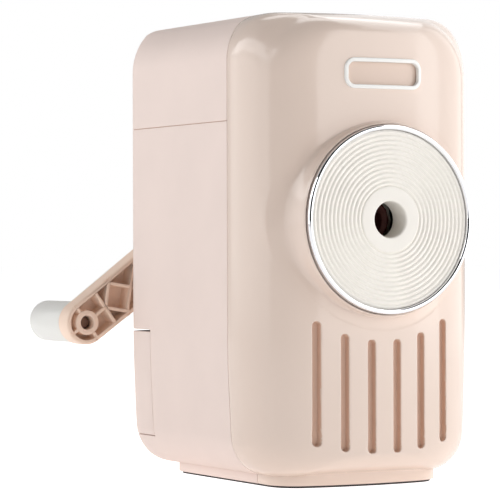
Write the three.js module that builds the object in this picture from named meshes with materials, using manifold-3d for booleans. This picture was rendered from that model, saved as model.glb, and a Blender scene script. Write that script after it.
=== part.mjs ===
// A hand-crank desk pencil sharpener in a rounded moulded casing, styled like an old radio.
// Millimetres. X points right, Y towards the back, Z up.
// The pieces are laid out from the crank axis where it meets the front face. The whole group is then
// moved so that its origin lies on the desk, under the middle of the non-slip pad.
import * as THREE from "three";
import { mergeVertices } from "three/addons/utils/BufferGeometryUtils.js";
import Module from "manifold-3d";

const wasm = await Module();
wasm.setup();

// ---- Driving dimensions -------------------------------------------------------------------------

const FACET = 0.21; // largest distance between a round outline and its straight facets
const GAP = 0.3; // clearance between neighbouring pieces
const BURY = 0.4; // how far a boss or rib runs into the wall that carries it
const BEYOND = 5; // how far a cutting solid runs past what it cuts

// Casing
const BODY_WIDTH = 69.2;
const BODY_DEPTH = 88.6;
const BODY_TOP = 55.8; // above the axis
const BODY_BOTTOM = -68.5;
const BODY_ABOVE_DESK = 2.7;
const AXIS_HEIGHT = BODY_ABOVE_DESK - BODY_BOTTOM; // crank axis above the desk
const WALL = 2.6;
const TOP_CORNER = 14; // corner radii of the front's outline
const BOTTOM_CORNER = 12;
const SHOULDER_RADIUS = 15; // behind the front the side turns in to a soft edge along the top
const SHOULDER_TURN = THREE.MathUtils.degToRad(43);
const TOP_EDGE_TURN = THREE.MathUtils.degToRad(62); // slope of the top's outward normal at that edge
const TOP_EDGE_DROP = 1.3; // how far the edge lies below the middle of the top
const SHOULDER_FROM = 0.75; // where on the front's rounding the plain corner starts to turn into it
const FACE_CORNER = 5; // corner radius of the unrounded middle of the front face
const FRONT_CROWN = 91.6; // radius of the bowed front face
const FRONT_SIDE_ROUND = 18.4; // how far the front rounding runs in from each side
const FRONT_EDGE_ROUND = 6.7; // how far it runs in from the top and the bottom
const REAR_CROWN = 320;
const REAR_SIDE_ROUND = 7.8;
const REAR_EDGE_ROUND = 6;
const SHELL_SEAM = 23.8; // front shell in front of it, body shell behind it
const COVER_SEAM = 26.6; // top cover above it, body shell below it
const LIP_REACH = 2; // how far the rear shells reach into the front shell
const LIP_WALL = 1.2;
const LIP_ROOT = 3;
const HOOK_WIDTH = 8;
const HOOK_WALL = 1.4;
const HOOK_DROP = 6;
const HOOK_FROM_SEAM = 12;
const HOOK_FROM_BACK = 20;

// Plinth and pad
const PLINTH_SET_IN = 9; // from each side of the body
const PLINTH_SET_FORWARD = 13.6; // from the back of the body
const PLINTH_HALF_WIDTH = BODY_WIDTH / 2 - PLINTH_SET_IN;
const PLINTH_FRONT = 8.3;
const PLINTH_BACK = BODY_DEPTH - PLINTH_SET_FORWARD;
const PLINTH_FRONT_CORNER = 9.4;
const PLINTH_BACK_CORNER = 6;
const PAD_STANDS_OUT = 0.6;
const PAD_THICKNESS = 1.4;
const PAD_INSET = 1;

// Loudspeaker grooves
const SLOT_COUNT = 6;
const SLOT_PITCH = 7.8;
const SLOT_WIDTH = 2.25;
const SLOT_DEPTH = 1.8;
const SLOT_TOP_RADIUS = 39; // the upper ends lie on an arc round the dial
const SLOT_TOP_CENTRE = 7;
const SLOT_ABOVE_BODY_BOTTOM = 6.6;
const SLOT_BOTTOM = BODY_BOTTOM + SLOT_ABOVE_BODY_BOTTOM;
const SLOT_BOTTOM_RISE = 0.0062; // the lower ends rise with the square of the distance from the middle

// Badge frame
const BADGE_HEIGHT_ABOVE_AXIS = 38.7;
const BADGE_HALF_WIDTH = 11.8;
const BADGE_HALF_HEIGHT = 4.1;
const BADGE_CORNER = 3;
const BADGE_BAR = 1.1;
const BADGE_PROUD = 0.5;
const BADGE_THICKNESS = 0.7;

// Dial
const RING_RADIUS = 25.4;
const RING_WIDTH = 1.65;
const RING_CREST = -3.9;
const DIAL_SEAT = 1.9; // depth of the seat behind the front of the face
const SEAT_WALL = 2.3;
const SEAT_RIM = 0.9;
const SEAT_FRONT = -2.7;
const FLARE_RADIUS = 31.6;
const FLARE_BACK = 9.5;
const DISC_FACE = -3.2;
const DISC_PLATE = 2.4; // thickness of the dial's face; behind it the dial is hollow
const DISC_SKIRT = 1.6; // wall of the skirt that it stands on
const RIDGE_COUNT = 12;
const RIDGE_HEIGHT = 0.45;
const HUB_FACE_RADIUS = 8.5;
const PENCIL_BORE = 4.8;
const BORE_CHAMFER = 0.4;
const HUB_TUBE_RADIUS = 6.4;
const HUB_TUBE_BACK = 6.4;
const LOCK_GROOVE_DEPTH = 0.6;
const LOCK_RING_THICKNESS = 0.9;
const LOCK_RING_RADIUS = 10.2;

// Cutter geometry
const TILT = THREE.MathUtils.degToRad(11); // half the point angle of the pencil
const CUTTER_ROLL = THREE.MathUtils.degToRad(150); // where the cutter stands round the axis
const CUTTER_RADIUS = 6;
const POINT_BACK = 46; // where the pencil's point ends
const CUTTER_END_PAST_POINT = 1.2;
const FLUTES = 9;
const FLUTE_DEPTH = 0.8;
const FLUTE_TURNS = 0.28;
const AXLE_RADIUS = 1.5;
const APEX_BACK = POINT_BACK + CUTTER_RADIUS / Math.sin(TILT); // where cutter axis and crank axis meet
const RING_TEETH = 34;
const PINION_TEETH = 10;
const GEAR_RATIO = RING_TEETH / PINION_TEETH;
const RING_CONE = Math.atan(Math.sin(TILT) / (Math.cos(TILT) - 1 / GEAR_RATIO));
const PINION_CONE = RING_CONE - TILT;
const GEAR_WIDTH = 4.5;
const RING_EXTRA_WIDTH = 0.2;
const CUTTER_SHOULDER = 0.9; // between the cutter's flutes and its pinion
const TOOTH_ADDENDUM = 0.75; // in modules
const TOOTH_DEDENDUM = 1.05;
const TOOTH_THINNING = 0.13; // taken from each flank for backlash, in millimetres
const PRESSURE_ANGLE = THREE.MathUtils.degToRad(20);

// Housing and carrier, from the front
const HOUSING_FRONT = 10;
const HOUSING_WALL = 2.4;
const BARREL_WALL = 1.8;
const FLANGE_HALF = 24;
const FLANGE_CORNER = 4.2;
const SCREW_OFFSET = 19.8; // housing screws, right and left, above and below the axis
const WINDOW_HALF_WIDTH = 15.5;
const WINDOW_BACK_MARGIN = 2.5;
const BUSH_WALL = 2;
const BUSH_FLANGE = 0.8;
const BUSH_FLANGE_REACH = 1.6;
const SLEEVE_BORE = 4.3;
const SLEEVE_WALL = 1.4;
const SLEEVE_CLEAR_OF_HUB = 1;
const SLEEVE_LENGTH = 20;
const CHEEK_THICKNESS = 1.8;
const CHEEK_RADIUS = 15.4;
const RING_SEAT_LEDGE = 1.9;
const RING_RIM = 2.1; // ring gear wall outside its tooth roots
const BACKBONE_RADIUS = 8.4;
const REAR_CHEEK_RADIUS = 9;
const REAR_CHEEK_THICKNESS = 3.6;
const JOURNAL_RADIUS = 5;
const JOURNAL_LENGTH = 6;
const CONE_CLEARANCE = 0.5;
const SCREW_SHANK = 1.3;
const SCREW_HEAD_RADIUS = 2.8;
const SCREW_HEAD = 1.7;
const SCREW_LENGTH = 7;
const BOSS_WALL = 2;

// Shaft and crank
const SHAFT_RADIUS = 3;
const SHAFT_FLAT = 2.3;
const CLIP_GROOVE = 0.6;
const CLIP_THICKNESS = 0.9;
const CLIP_RADIUS = 6.6;
const COLLAR_RADIUS = 9;
const COLLAR_HEIGHT = 1.2;
const ARM_CLEAR_OF_COLLAR = 2.35;
const CRANK_FRONT = BODY_DEPTH + COLLAR_HEIGHT + ARM_CLEAR_OF_COLLAR;
const ARM_THICKNESS = 6.6;
const ARM_FLOOR = 1.3;
const ARM_WALL = 1.3;
const ARM_EDGE_RUN = 0.7;
const CRANK_RADIUS = 52.6;
const CRANK_ANGLE = THREE.MathUtils.degToRad(33); // below the horizontal, to the left
const CRANK_HUB_RADIUS = 10;
const ARM_END_RADIUS = 6.35;
const ARM_LOWER_EDGE = 4.07; // distance of the lower edge's line from the pivot
const ARM_HUB_FILLET = 6;
const HUB_CORE_RADIUS = 6.4;
const KNOB_BOSS_RADIUS = 3.55;
const RIB = 0.9;
const FIRST_CROSSING = 7.2; // from the knob boss to the first crossing of the ribs
const CROSSINGS = 4;
const HUB_RIBS = 6;
const CAP_RADIUS = 4;
const CAP_THICKNESS = 1.1;
const CRANK_SCREW_LENGTH = 8;
const CRANK_SCREW_HEAD = 1.4;
const HUB_WEB = 1.1;
const KNOB_AXLE_RADIUS = 1.75;
const KNOB_AXLE_RECESS = 2.4;
const KNOB_RADIUS = 6;
const KNOB_LENGTH = 22;
const KNOB_END_ROUND = 3;
const KNOB_BORE_DEPTH = 17;

// Drawer
const DRAWER_BACK_DEPTH = 17.9; // of the drawer's back, which closes the casing behind the seam
const DRAWER_SEAM = BODY_DEPTH - DRAWER_BACK_DEPTH;
const DRAWER_TOP = -30.9;
const DRAWER_ABOVE_BODY_BOTTOM = 8.3;
const DRAWER_BOTTOM = BODY_BOTTOM + DRAWER_ABOVE_BODY_BOTTOM;
const DRAWER_TOP_GAP = 0.6;
const TUB_SIDE_CLEARANCE = 1.2;
const TUB_HALF_WIDTH = BODY_WIDTH / 2 - WALL - TUB_SIDE_CLEARANCE;
const TUB_BEHIND_FRONT_SHELL = 5.2;
const TUB_FRONT = SHELL_SEAM + TUB_BEHIND_FRONT_SHELL;
const TUB_WALL = 1.8;
const TUB_CORNER = 5;
const TUB_BELOW_FACE_TOP = 1.2;
const TUB_ABOVE_FACE_BOTTOM = 0.5;
const GRIP_RADIUS = 14; // scooped grip at the top edge of the drawer's back
const GRIP_HEIGHT = 6;
const GRIP_DEPTH = 2.8;
const RAIL_OFFSET = 21;
const RAIL_WIDTH = 2;

// Screws under the plinth
const TONGUE_HALF_WIDTH = 18;
const TONGUE_REACH = 10.5;
const TONGUE_THICKNESS = 2.2;
const SHELL_SCREW_OFFSET = 12;
const SHELL_SCREW_FROM_SEAM = 7;
const SCREW_PAD_HEIGHT = 0.9;

// ---- Colours ------------------------------------------------------------------------------------

const finish = (color, roughness, metalness = 0) =>
  new THREE.MeshStandardMaterial({ color, roughness, metalness });
const pinkGloss = finish(0xecdacc, 0.22);
const pinkSatin = finish(0xe6d8d0, 0.5);
const whiteGloss = finish(0xeeece6, 0.3);
const chrome = finish(0xf2f2f4, 0.05, 1);
const padRubber = finish(0x3c3a3c, 0.9);
const mechanismGrey = finish(0x2b2a2c, 0.6);
const carrierBrown = finish(0x462623, 0.5);
const toolSteel = finish(0x8f9196, 0.3, 1);
const zincSteel = finish(0xb8bac0, 0.35, 1);
const nylon = finish(0xe2ddd0, 0.5);

// ---- Making solids ------------------------------------------------------------------------------

// Turns a closed geometry into a solid. A geometry wound inside out is turned round.
function toSolid(geometry, matrix) {
  const bare = new THREE.BufferGeometry();
  const source = geometry.index ? geometry.toNonIndexed() : geometry;
  bare.setAttribute("position", source.getAttribute("position").clone());
  if (matrix) bare.applyMatrix4(matrix);
  const merged = mergeVertices(bare, 1e-4);
  const points = merged.attributes.position.array;
  const triangles = [];
  let volume = 0;
  for (let i = 0; i < merged.index.count; i += 3) {
    const [a, b, c] = merged.index.array.subarray(i, i + 3);
    if (a === b || b === c || c === a) continue;
    const corners = [a, b, c].map((v) => new THREE.Vector3().fromArray(points, 3 * v));
    volume += corners[0].dot(corners[1].cross(corners[2]));
    triangles.push(a, b, c);
  }
  if (volume < 0) triangles.reverse();
  const mesh = new wasm.Mesh({
    numProp: 3,
    vertProperties: points,
    triVerts: new Uint32Array(triangles),
  });
  return new wasm.Manifold(mesh);
}

function toGeometry(solid) {
  const mesh = solid.getMesh();
  const geometry = new THREE.BufferGeometry();
  geometry.setAttribute("position", new THREE.BufferAttribute(mesh.vertProperties, 3));
  geometry.setIndex(new THREE.BufferAttribute(mesh.triVerts, 1));
  return geometry;
}

const join = (first, ...others) => others.reduce((whole, piece) => whole.add(piece), first);
const cut = (whole, ...tools) => tools.reduce((rest, tool) => rest.subtract(tool), whole);
const common = (first, ...others) => others.reduce((rest, piece) => rest.intersect(piece), first);

// ---- Outlines -----------------------------------------------------------------------------------

// Points on an arc, as many as the facet size asks for.
function arc(x, y, radius, from, to) {
  const step = 2 * Math.acos(1 - Math.min(FACET / radius, 0.3));
  const count = Math.max(2, Math.ceil(Math.abs(to - from) / step));
  const points = [];
  for (let i = 0; i <= count; i++) {
    const angle = from + ((to - from) * i) / count;
    points.push(new THREE.Vector2(x + radius * Math.cos(angle), y + radius * Math.sin(angle)));
  }
  return points;
}

const pair = (x, y) => new THREE.Vector2(x, y);

function closedShape(...parts) {
  const points = parts.flat();
  const kept = points.filter((p, i) => p.distanceTo(points.at(i - 1)) > 1e-4);
  return new THREE.Shape(kept);
}

const disc = (x, y, radius) => closedShape(arc(x, y, radius, 0, 2 * Math.PI));

function roundedRectangle(left, right, bottom, top, radius) {
  const quarter = Math.PI / 2;
  return closedShape(
    arc(right - radius, top - radius, radius, 0, quarter),
    arc(left + radius, top - radius, radius, quarter, 2 * quarter),
    arc(left + radius, bottom + radius, radius, 2 * quarter, 3 * quarter),
    arc(right - radius, bottom + radius, radius, 3 * quarter, 4 * quarter),
  );
}

// A straight bar of the given width between two points.
function barShape(from, to, width) {
  const side = to.clone().sub(from).normalize().multiplyScalar(width / 2);
  side.set(-side.y, side.x);
  return closedShape([
    from.clone().add(side),
    to.clone().add(side),
    to.clone().sub(side),
    from.clone().sub(side),
  ]);
}

// ---- Prisms, turned pieces and blocks -----------------------------------------------------------

const extruded = (shape, depth) =>
  new THREE.ExtrudeGeometry(shape, { depth, bevelEnabled: false, curveSegments: 1 });

// Seen from the front: the shape's x and y run along X and Z.
function prismY(shape, front, back) {
  const matrix = new THREE.Matrix4().makeRotationX(Math.PI / 2).setPosition(0, back, 0);
  return toSolid(extruded(shape, back - front), matrix);
}

// Seen from above: the shape's x and y run along X and Y.
function prismZ(shape, bottom, top) {
  return toSolid(extruded(shape, top - bottom), new THREE.Matrix4().makeTranslation(0, 0, bottom));
}

function block(left, right, front, back, bottom, top) {
  const box = new THREE.BoxGeometry(right - left, back - front, top - bottom);
  const middle = [(left + right) / 2, (front + back) / 2, (bottom + top) / 2];
  return toSolid(box, new THREE.Matrix4().makeTranslation(...middle));
}

// A solid of revolution about the crank axis, or about a parallel axis through (x, z).
// The profile is a list of [radius, y]; one that doesn't start and end on the axis is closed.
function turned(profile, x = 0, z = 0) {
  const points = profile.map(([radius, y]) => pair(radius, y));
  if (points[0].x > 0 || points.at(-1).x > 0) points.push(points[0].clone());
  const widest = Math.max(...points.map((p) => p.x));
  const segments = 4 * Math.ceil(Math.PI / 4 / Math.acos(1 - FACET / widest));
  const lathe = new THREE.LatheGeometry(points, segments);
  return toSolid(lathe, new THREE.Matrix4().makeTranslation(x, 0, z));
}

const rod = (radius, front, back, x = 0, z = 0) =>
  turned([[0, front], [radius, front], [radius, back], [0, back]], x, z);

const tube = (inner, outer, front, back, x = 0, z = 0) =>
  turned([[inner, front], [outer, front], [outer, back], [inner, back]], x, z);

// The same along an upright axis.
function uprightRod(radius, bottom, top, x, y) {
  return prismZ(disc(x, y, radius), bottom, top);
}

// ---- Casing form --------------------------------------------------------------------------------

// The top corner behind the front, for a step from 0 at the side to 5 at the flat of the top.
// Steps 0 to 3 lie on the shoulder, and the edge is step 3.
const SHOULDER_STEPS = 3;
const CORNER_STEPS = 5;
const topEdgeRadius = TOP_EDGE_DROP / (1 - Math.sin(TOP_EDGE_TURN));
const shoulderX = BODY_WIDTH / 2 - SHOULDER_RADIUS;
const topEdgeX = shoulderX + SHOULDER_RADIUS * Math.cos(SHOULDER_TURN);
const topFlatX = topEdgeX - topEdgeRadius * Math.cos(TOP_EDGE_TURN);

function shoulderPoint(step, inset) {
  const shoulderZ = BODY_TOP - TOP_EDGE_DROP - SHOULDER_RADIUS * Math.sin(SHOULDER_TURN);
  const onArc = (x, z, radius, angle) =>
    pair(x + (radius - inset) * Math.cos(angle), z + (radius - inset) * Math.sin(angle));
  if (step < SHOULDER_STEPS) {
    return onArc(shoulderX, shoulderZ, SHOULDER_RADIUS, (SHOULDER_TURN * step) / SHOULDER_STEPS);
  }
  if (step > SHOULDER_STEPS) {
    const share = (step - SHOULDER_STEPS) / (CORNER_STEPS - SHOULDER_STEPS);
    const angle = TOP_EDGE_TURN + (Math.PI / 2 - TOP_EDGE_TURN) * share;
    return onArc(topFlatX, BODY_TOP - topEdgeRadius, topEdgeRadius, angle);
  }
  const middle = (SHOULDER_TURN + TOP_EDGE_TURN) / 2;
  const mitre = inset / Math.cos((TOP_EDGE_TURN - SHOULDER_TURN) / 2);
  const edgeZ = BODY_TOP - TOP_EDGE_DROP;
  return pair(topEdgeX - mitre * Math.cos(middle), edgeZ - mitre * Math.sin(middle));
}

// One ring of points round the casing, seen from the front: along the top from right to left, then
// along the bottom from left to right. reach is how far the outline stands out from the flat middle
// of the face: 0 at the face, 1 at the full outline. The bow of the face runs on into the rounding
// without a crease. shoulder is 0 for plainly rounded top corners and 1 for the shoulder.
function casingRing(inset, reach, sideRound, edgeRound, crown, faceY, rimY, turn, shoulder) {
  const quarter = Math.PI / 2;
  const topSteps = 4;
  const half = BODY_WIDTH / 2;
  const ring = [];
  for (const upper of [true, false]) {
    const edge = upper ? BODY_TOP : -BODY_BOTTOM;
    const corner = (upper ? TOP_CORNER : BOTTOM_CORNER) - inset;
    const outer = { x: half - inset - corner, z: edge - inset - corner, radius: corner };
    const inner = {
      x: half - sideRound - FACE_CORNER,
      z: edge - edgeRound - FACE_CORNER,
      radius: FACE_CORNER,
    };
    const stations = [];
    for (let i = 0; i <= CORNER_STEPS; i++) stations.push([1, i]);
    for (let i = 1; i < topSteps; i++) stations.push([1 - (2 * i) / topSteps, CORNER_STEPS]);
    for (let i = CORNER_STEPS; i >= 0; i--) stations.push([-1, i]);
    const place = ({ x, z, radius }, side, step) => {
      const angle = (quarter * step) / CORNER_STEPS;
      return pair(side * (x + radius * Math.cos(angle)), z + radius * Math.sin(angle));
    };
    const row = stations.map(([side, step]) => {
      const full = place(outer, side, step);
      if (upper) {
        const point = shoulderPoint(step, inset);
        full.lerp(pair(side * point.x, point.y), shoulder);
      }
      const flat = place(inner, side, step);
      const at = flat.clone().lerp(full, reach);
      const rise = Math.sqrt(crown * crown - flat.x * flat.x);
      const way = Math.sign(rimY - faceY);
      const y = faceY + way * (crown - rise);
      const blend = way * (flat.x / rise) * (at.x - flat.x) * (1 - reach) ** 2;
      return new THREE.Vector3(at.x, y + (rimY - y) * turn + blend, upper ? at.y : -at.y);
    });
    ring.push(...(upper ? row : row.reverse()));
  }
  return ring;
}

// The casing as one closed form, with its surface moved inwards by inset.
function casing(inset) {
  const quarter = Math.PI / 2;
  const frontSteps = 6;
  const backSteps = 4;
  const frontRim = FRONT_SIDE_ROUND + bowAt(FRONT_CROWN, FRONT_SIDE_ROUND);
  const backRim = BODY_DEPTH - REAR_SIDE_ROUND - bowAt(REAR_CROWN, REAR_SIDE_ROUND);
  const rings = [];
  for (let i = 0; i <= frontSteps; i++) {
    const angle = (quarter * i) / frontSteps;
    const turn = 1 - Math.cos(angle);
    const sizes = [FRONT_SIDE_ROUND, FRONT_EDGE_ROUND, FRONT_CROWN, inset, frontRim];
    const shoulder = THREE.MathUtils.smoothstep(Math.sin(angle), SHOULDER_FROM, 1);
    rings.push(casingRing(inset, Math.sin(angle), ...sizes, turn, shoulder));
  }
  for (let i = backSteps; i >= 0; i--) {
    const angle = (quarter * i) / backSteps;
    const turn = 1 - Math.cos(angle);
    const sizes = [REAR_SIDE_ROUND, REAR_EDGE_ROUND, REAR_CROWN, BODY_DEPTH - inset, backRim];
    rings.push(casingRing(inset, Math.sin(angle), ...sizes, turn, 1));
  }
  return toSolid(ringLoft(rings));
}

// How far a crowned face falls back where the side rounding begins.
function bowAt(crown, sideRound) {
  const x = BODY_WIDTH / 2 - sideRound;
  return crown - Math.sqrt(crown * crown - x * x);
}

// A closed skin through rings of equal count, each end closed by strips from its upper to its lower half.
function ringLoft(rings) {
  const count = rings[0].length;
  const position = rings.flat().flatMap((p) => [p.x, p.y, p.z]);
  const index = [];
  for (let r = 0; r + 1 < rings.length; r++) {
    for (let i = 0; i < count; i++) {
      const next = (i + 1) % count;
      const a = r * count + i;
      const b = r * count + next;
      index.push(a, b, a + count, b, b + count, a + count);
    }
  }
  const last = (rings.length - 1) * count;
  for (let i = 0; i + 1 < count / 2; i++) {
    const low = count - 1 - i;
    index.push(i, low, i + 1, i + 1, low, low - 1);
    index.push(last + i, last + i + 1, last + low, last + i + 1, last + low - 1, last + low);
  }
  const geometry = new THREE.BufferGeometry();
  geometry.setAttribute("position", new THREE.Float32BufferAttribute(position, 3));
  geometry.setIndex(index);
  return geometry;
}

const outerForm = casing(0);
const innerForm = casing(WALL);
const shellWall = cut(outerForm, innerForm);
const FAR = 200; // past every side of the casing
const halfSeam = GAP / 2;

const beforeSeam = block(-FAR, FAR, -FAR, SHELL_SEAM - halfSeam, -FAR, FAR);
const behindSeam = block(-FAR, FAR, SHELL_SEAM + halfSeam, FAR, -FAR, FAR);
const belowCover = block(-FAR, FAR, -FAR, FAR, -FAR, COVER_SEAM - halfSeam);
const aboveCover = block(-FAR, FAR, -FAR, FAR, COVER_SEAM + halfSeam, FAR);

// The rim inside the rear shells that reaches into the front shell and lines the two up.
function seamLip() {
  const inner = casing(WALL + GAP + LIP_WALL);
  const reaching = cut(casing(WALL + GAP), inner);
  const rooted = cut(casing(WALL - BURY), inner);
  const front = SHELL_SEAM - LIP_REACH;
  const root = SHELL_SEAM + halfSeam;
  return join(
    common(reaching, block(-FAR, FAR, front, SHELL_SEAM + LIP_ROOT, -FAR, FAR)),
    common(rooted, block(-FAR, FAR, root, SHELL_SEAM + LIP_ROOT, -FAR, FAR)),
  );
}
const lip = seamLip();

// ---- Plinth -------------------------------------------------------------------------------------

const DESK = -AXIS_HEIGHT;
const FLOOR_TOP = BODY_BOTTOM + WALL; // inner face of the casing's floor
const PAD_TOP = DESK + PAD_THICKNESS;

function plinthOutline(inset) {
  const quarter = Math.PI / 2;
  const half = PLINTH_HALF_WIDTH - inset;
  const crown = FRONT_CROWN - inset;
  const corner = PLINTH_FRONT_CORNER - inset;
  const crownY = PLINTH_FRONT + FRONT_CROWN;
  const cornerX = half - corner;
  const cornerY = crownY - Math.sqrt((crown - corner) ** 2 - cornerX ** 2);
  const start = Math.atan2(cornerY - crownY, cornerX);
  const back = PLINTH_BACK_CORNER - inset;
  const backX = half - back;
  const backY = PLINTH_BACK - inset - back;
  return closedShape(
    arc(0, crownY, crown, Math.PI - start, 2 * Math.PI + start),
    arc(cornerX, cornerY, corner, start, 0),
    arc(backX, backY, back, 0, quarter),
    arc(-backX, backY, back, quarter, 2 * quarter),
    arc(-cornerX, cornerY, corner, Math.PI, Math.PI - start),
  );
}

const padRecess = prismZ(plinthOutline(PAD_INSET - GAP), DESK - BEYOND, PAD_TOP + GAP);
const plinth = cut(
  prismZ(plinthOutline(0), DESK + PAD_STANDS_OUT, FLOOR_TOP - BURY),
  padRecess,
);

function makePad() {
  return prismZ(plinthOutline(PAD_INSET), DESK, PAD_TOP);
}

// ---- Screws -------------------------------------------------------------------------------------

// A pan-head screw that points forwards: its head seats at y = seat, its tip is at y = seat - length.
function screwForward(x, z, seat, length, shank = SCREW_SHANK, headRadius = SCREW_HEAD_RADIUS,
  head = SCREW_HEAD) {
  const chamfer = head / 3;
  const profile = [
    [0, seat - length],
    [shank * 0.6, seat - length],
    [shank, seat - length + shank * 0.6],
    [shank, seat],
    [headRadius, seat],
    [headRadius, seat + head - chamfer],
    [headRadius - chamfer, seat + head],
    [0, seat + head],
  ];
  return turned(profile, x, z);
}

const screwHole = SCREW_SHANK + GAP;

// ---- Shells -------------------------------------------------------------------------------------

const seatRadius = RING_RADIUS + GAP;
const tubeHole = HUB_TUBE_RADIUS + GAP;
const seatBack = DIAL_SEAT + SEAT_WALL;
const corners = [[1, 1], [-1, 1], [-1, -1], [1, -1]];

// The flared seat that the dial sits in, standing out of the bowed face at both sides.
function dialSeat() {
  const rim = seatRadius + SEAT_RIM;
  const flareSteps = 4;
  const flare = [];
  for (let i = 0; i <= flareSteps; i++) {
    const angle = (Math.PI / 2) * (i / flareSteps);
    const radius = rim + (FLARE_RADIUS - rim) * (1 - Math.cos(angle));
    flare.push([radius, SEAT_FRONT + (FLARE_BACK - SEAT_FRONT) * Math.sin(angle)]);
  }
  const inside = [[FLARE_RADIUS - WALL, FLARE_BACK], [rim - WALL, seatBack]];
  return turned([[0, SEAT_FRONT], ...flare, ...inside, [0, seatBack]]);
}

function slotTools() {
  const tools = [];
  for (let i = 0; i < SLOT_COUNT; i++) {
    const x = (i - (SLOT_COUNT - 1) / 2) * SLOT_PITCH;
    const top = SLOT_TOP_CENTRE - Math.sqrt(SLOT_TOP_RADIUS ** 2 - x ** 2);
    const bottom = SLOT_BOTTOM + SLOT_BOTTOM_RISE * x * x;
    const half = SLOT_WIDTH / 2;
    const shape = roundedRectangle(x - half, x + half, bottom, top, half - 0.01);
    tools.push(prismY(shape, -BEYOND, SHELL_SEAM / 2));
  }
  return tools;
}

function badgeShape(outset) {
  return roundedRectangle(
    -BADGE_HALF_WIDTH - outset,
    BADGE_HALF_WIDTH + outset,
    BADGE_HEIGHT_ABOVE_AXIS - BADGE_HALF_HEIGHT - outset,
    BADGE_HEIGHT_ABOVE_AXIS + BADGE_HALF_HEIGHT + outset,
    BADGE_CORNER + outset,
  );
}

function makeFrontShell() {
  const shell = common(shellWall, beforeSeam);
  const seat = dialSeat();
  const bossRadius = screwHole + BOSS_WALL;
  const bosses = corners.map(([x, z]) => {
    const boss = rod(bossRadius, 0, HOUSING_FRONT - GAP, x * SCREW_OFFSET, z * SCREW_OFFSET);
    return common(boss, casing(WALL - BURY));
  });
  const screwY = SHELL_SEAM - SHELL_SCREW_FROM_SEAM;
  const pads = [-1, 1].map((side) =>
    uprightRod(bossRadius + BURY, FLOOR_TOP - BURY, FLOOR_TOP + SCREW_PAD_HEIGHT,
      side * SHELL_SCREW_OFFSET, screwY));
  const foot = common(plinth, beforeSeam);
  const whole = join(shell, seat, ...bosses, foot, ...pads);

  const dialPocket = rod(seatRadius, -BEYOND, DIAL_SEAT);
  const hubHole = rod(tubeHole, -BEYOND, seatBack + BEYOND);
  const screwHoles = corners.map(([x, z]) =>
    rod(screwHole, seatBack, HOUSING_FRONT + BEYOND, x * SCREW_OFFSET, z * SCREW_OFFSET));
  const slots = slotTools().map((tool) => cut(tool, casing(SLOT_DEPTH)));
  const badgeDepth = BADGE_THICKNESS - BADGE_PROUD + GAP;
  const badgeRecess = cut(prismY(badgeShape(GAP), -BEYOND, BEYOND), casing(badgeDepth));
  const footHoles = [-1, 1].flatMap((side) => {
    const x = side * SHELL_SCREW_OFFSET;
    const seatHeight = PAD_TOP + GAP + SCREW_HEAD + GAP;
    return [
      uprightRod(screwHole, DESK - BEYOND, FLOOR_TOP + BEYOND, x, screwY),
      uprightRod(SCREW_HEAD_RADIUS + GAP, DESK - BEYOND, seatHeight, x, screwY),
    ];
  });
  return cut(whole, dialPocket, hubHole, ...screwHoles, ...slots, badgeRecess, ...footHoles);
}

function makeBadgeFrame() {
  const outer = prismY(badgeShape(0), -BEYOND, BEYOND);
  const inner = prismY(badgeShape(-BADGE_BAR), -2 * BEYOND, 2 * BEYOND);
  const skin = cut(casing(-BADGE_PROUD), casing(BADGE_THICKNESS - BADGE_PROUD));
  return common(cut(outer, inner), skin);
}

const drawerOpening = block(
  -FAR, FAR, DRAWER_SEAM - halfSeam, FAR, DRAWER_BOTTOM - GAP, DRAWER_TOP + DRAWER_TOP_GAP);
const wallBushHole = SHAFT_RADIUS + GAP + BUSH_WALL + GAP;
const collarBack = BODY_DEPTH + COLLAR_HEIGHT;

function makeBodyShell() {
  const shell = cut(common(shellWall, behindSeam, belowCover), drawerOpening);
  const rim = common(lip, belowCover);
  const foot = common(plinth, behindSeam);
  const railTop = DRAWER_BOTTOM + TUB_ABOVE_FACE_BOTTOM - GAP;
  const rails = [-1, 1].map((side) => {
    const middle = side * RAIL_OFFSET;
    const half = RAIL_WIDTH / 2;
    return block(middle - half, middle + half, TUB_FRONT, DRAWER_SEAM - halfSeam,
      FLOOR_TOP - BURY, railTop);
  });
  const collar = rod(COLLAR_RADIUS, BODY_DEPTH - WALL, collarBack);
  const tongueFloor = FLOOR_TOP + SCREW_PAD_HEIGHT + GAP;
  const tongueTop = tongueFloor + TONGUE_THICKNESS;
  const tongueFront = SHELL_SEAM - TONGUE_REACH;
  const tongueBack = SHELL_SEAM + LIP_ROOT;
  const tongue = join(
    block(-TONGUE_HALF_WIDTH, TONGUE_HALF_WIDTH, tongueFront, tongueBack, tongueFloor, tongueTop),
    block(-TONGUE_HALF_WIDTH, TONGUE_HALF_WIDTH, SHELL_SEAM + halfSeam, tongueBack,
      FLOOR_TOP - BURY, tongueTop),
  );
  const screwY = SHELL_SEAM - SHELL_SCREW_FROM_SEAM;
  const bossTop = tongueTop + BOSS_WALL;
  const bosses = [-1, 1].map((side) =>
    uprightRod(screwHole + BOSS_WALL, tongueFloor, bossTop, side * SHELL_SCREW_OFFSET, screwY));
  const holes = [-1, 1].map((side) =>
    uprightRod(screwHole, tongueFloor - BEYOND, bossTop + BEYOND, side * SHELL_SCREW_OFFSET, screwY));
  const shaftHole = rod(wallBushHole, BODY_DEPTH - 2 * WALL, collarBack + BEYOND);
  return cut(join(shell, rim, foot, ...rails, collar, tongue, ...bosses), shaftHole, ...holes);
}

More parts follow.
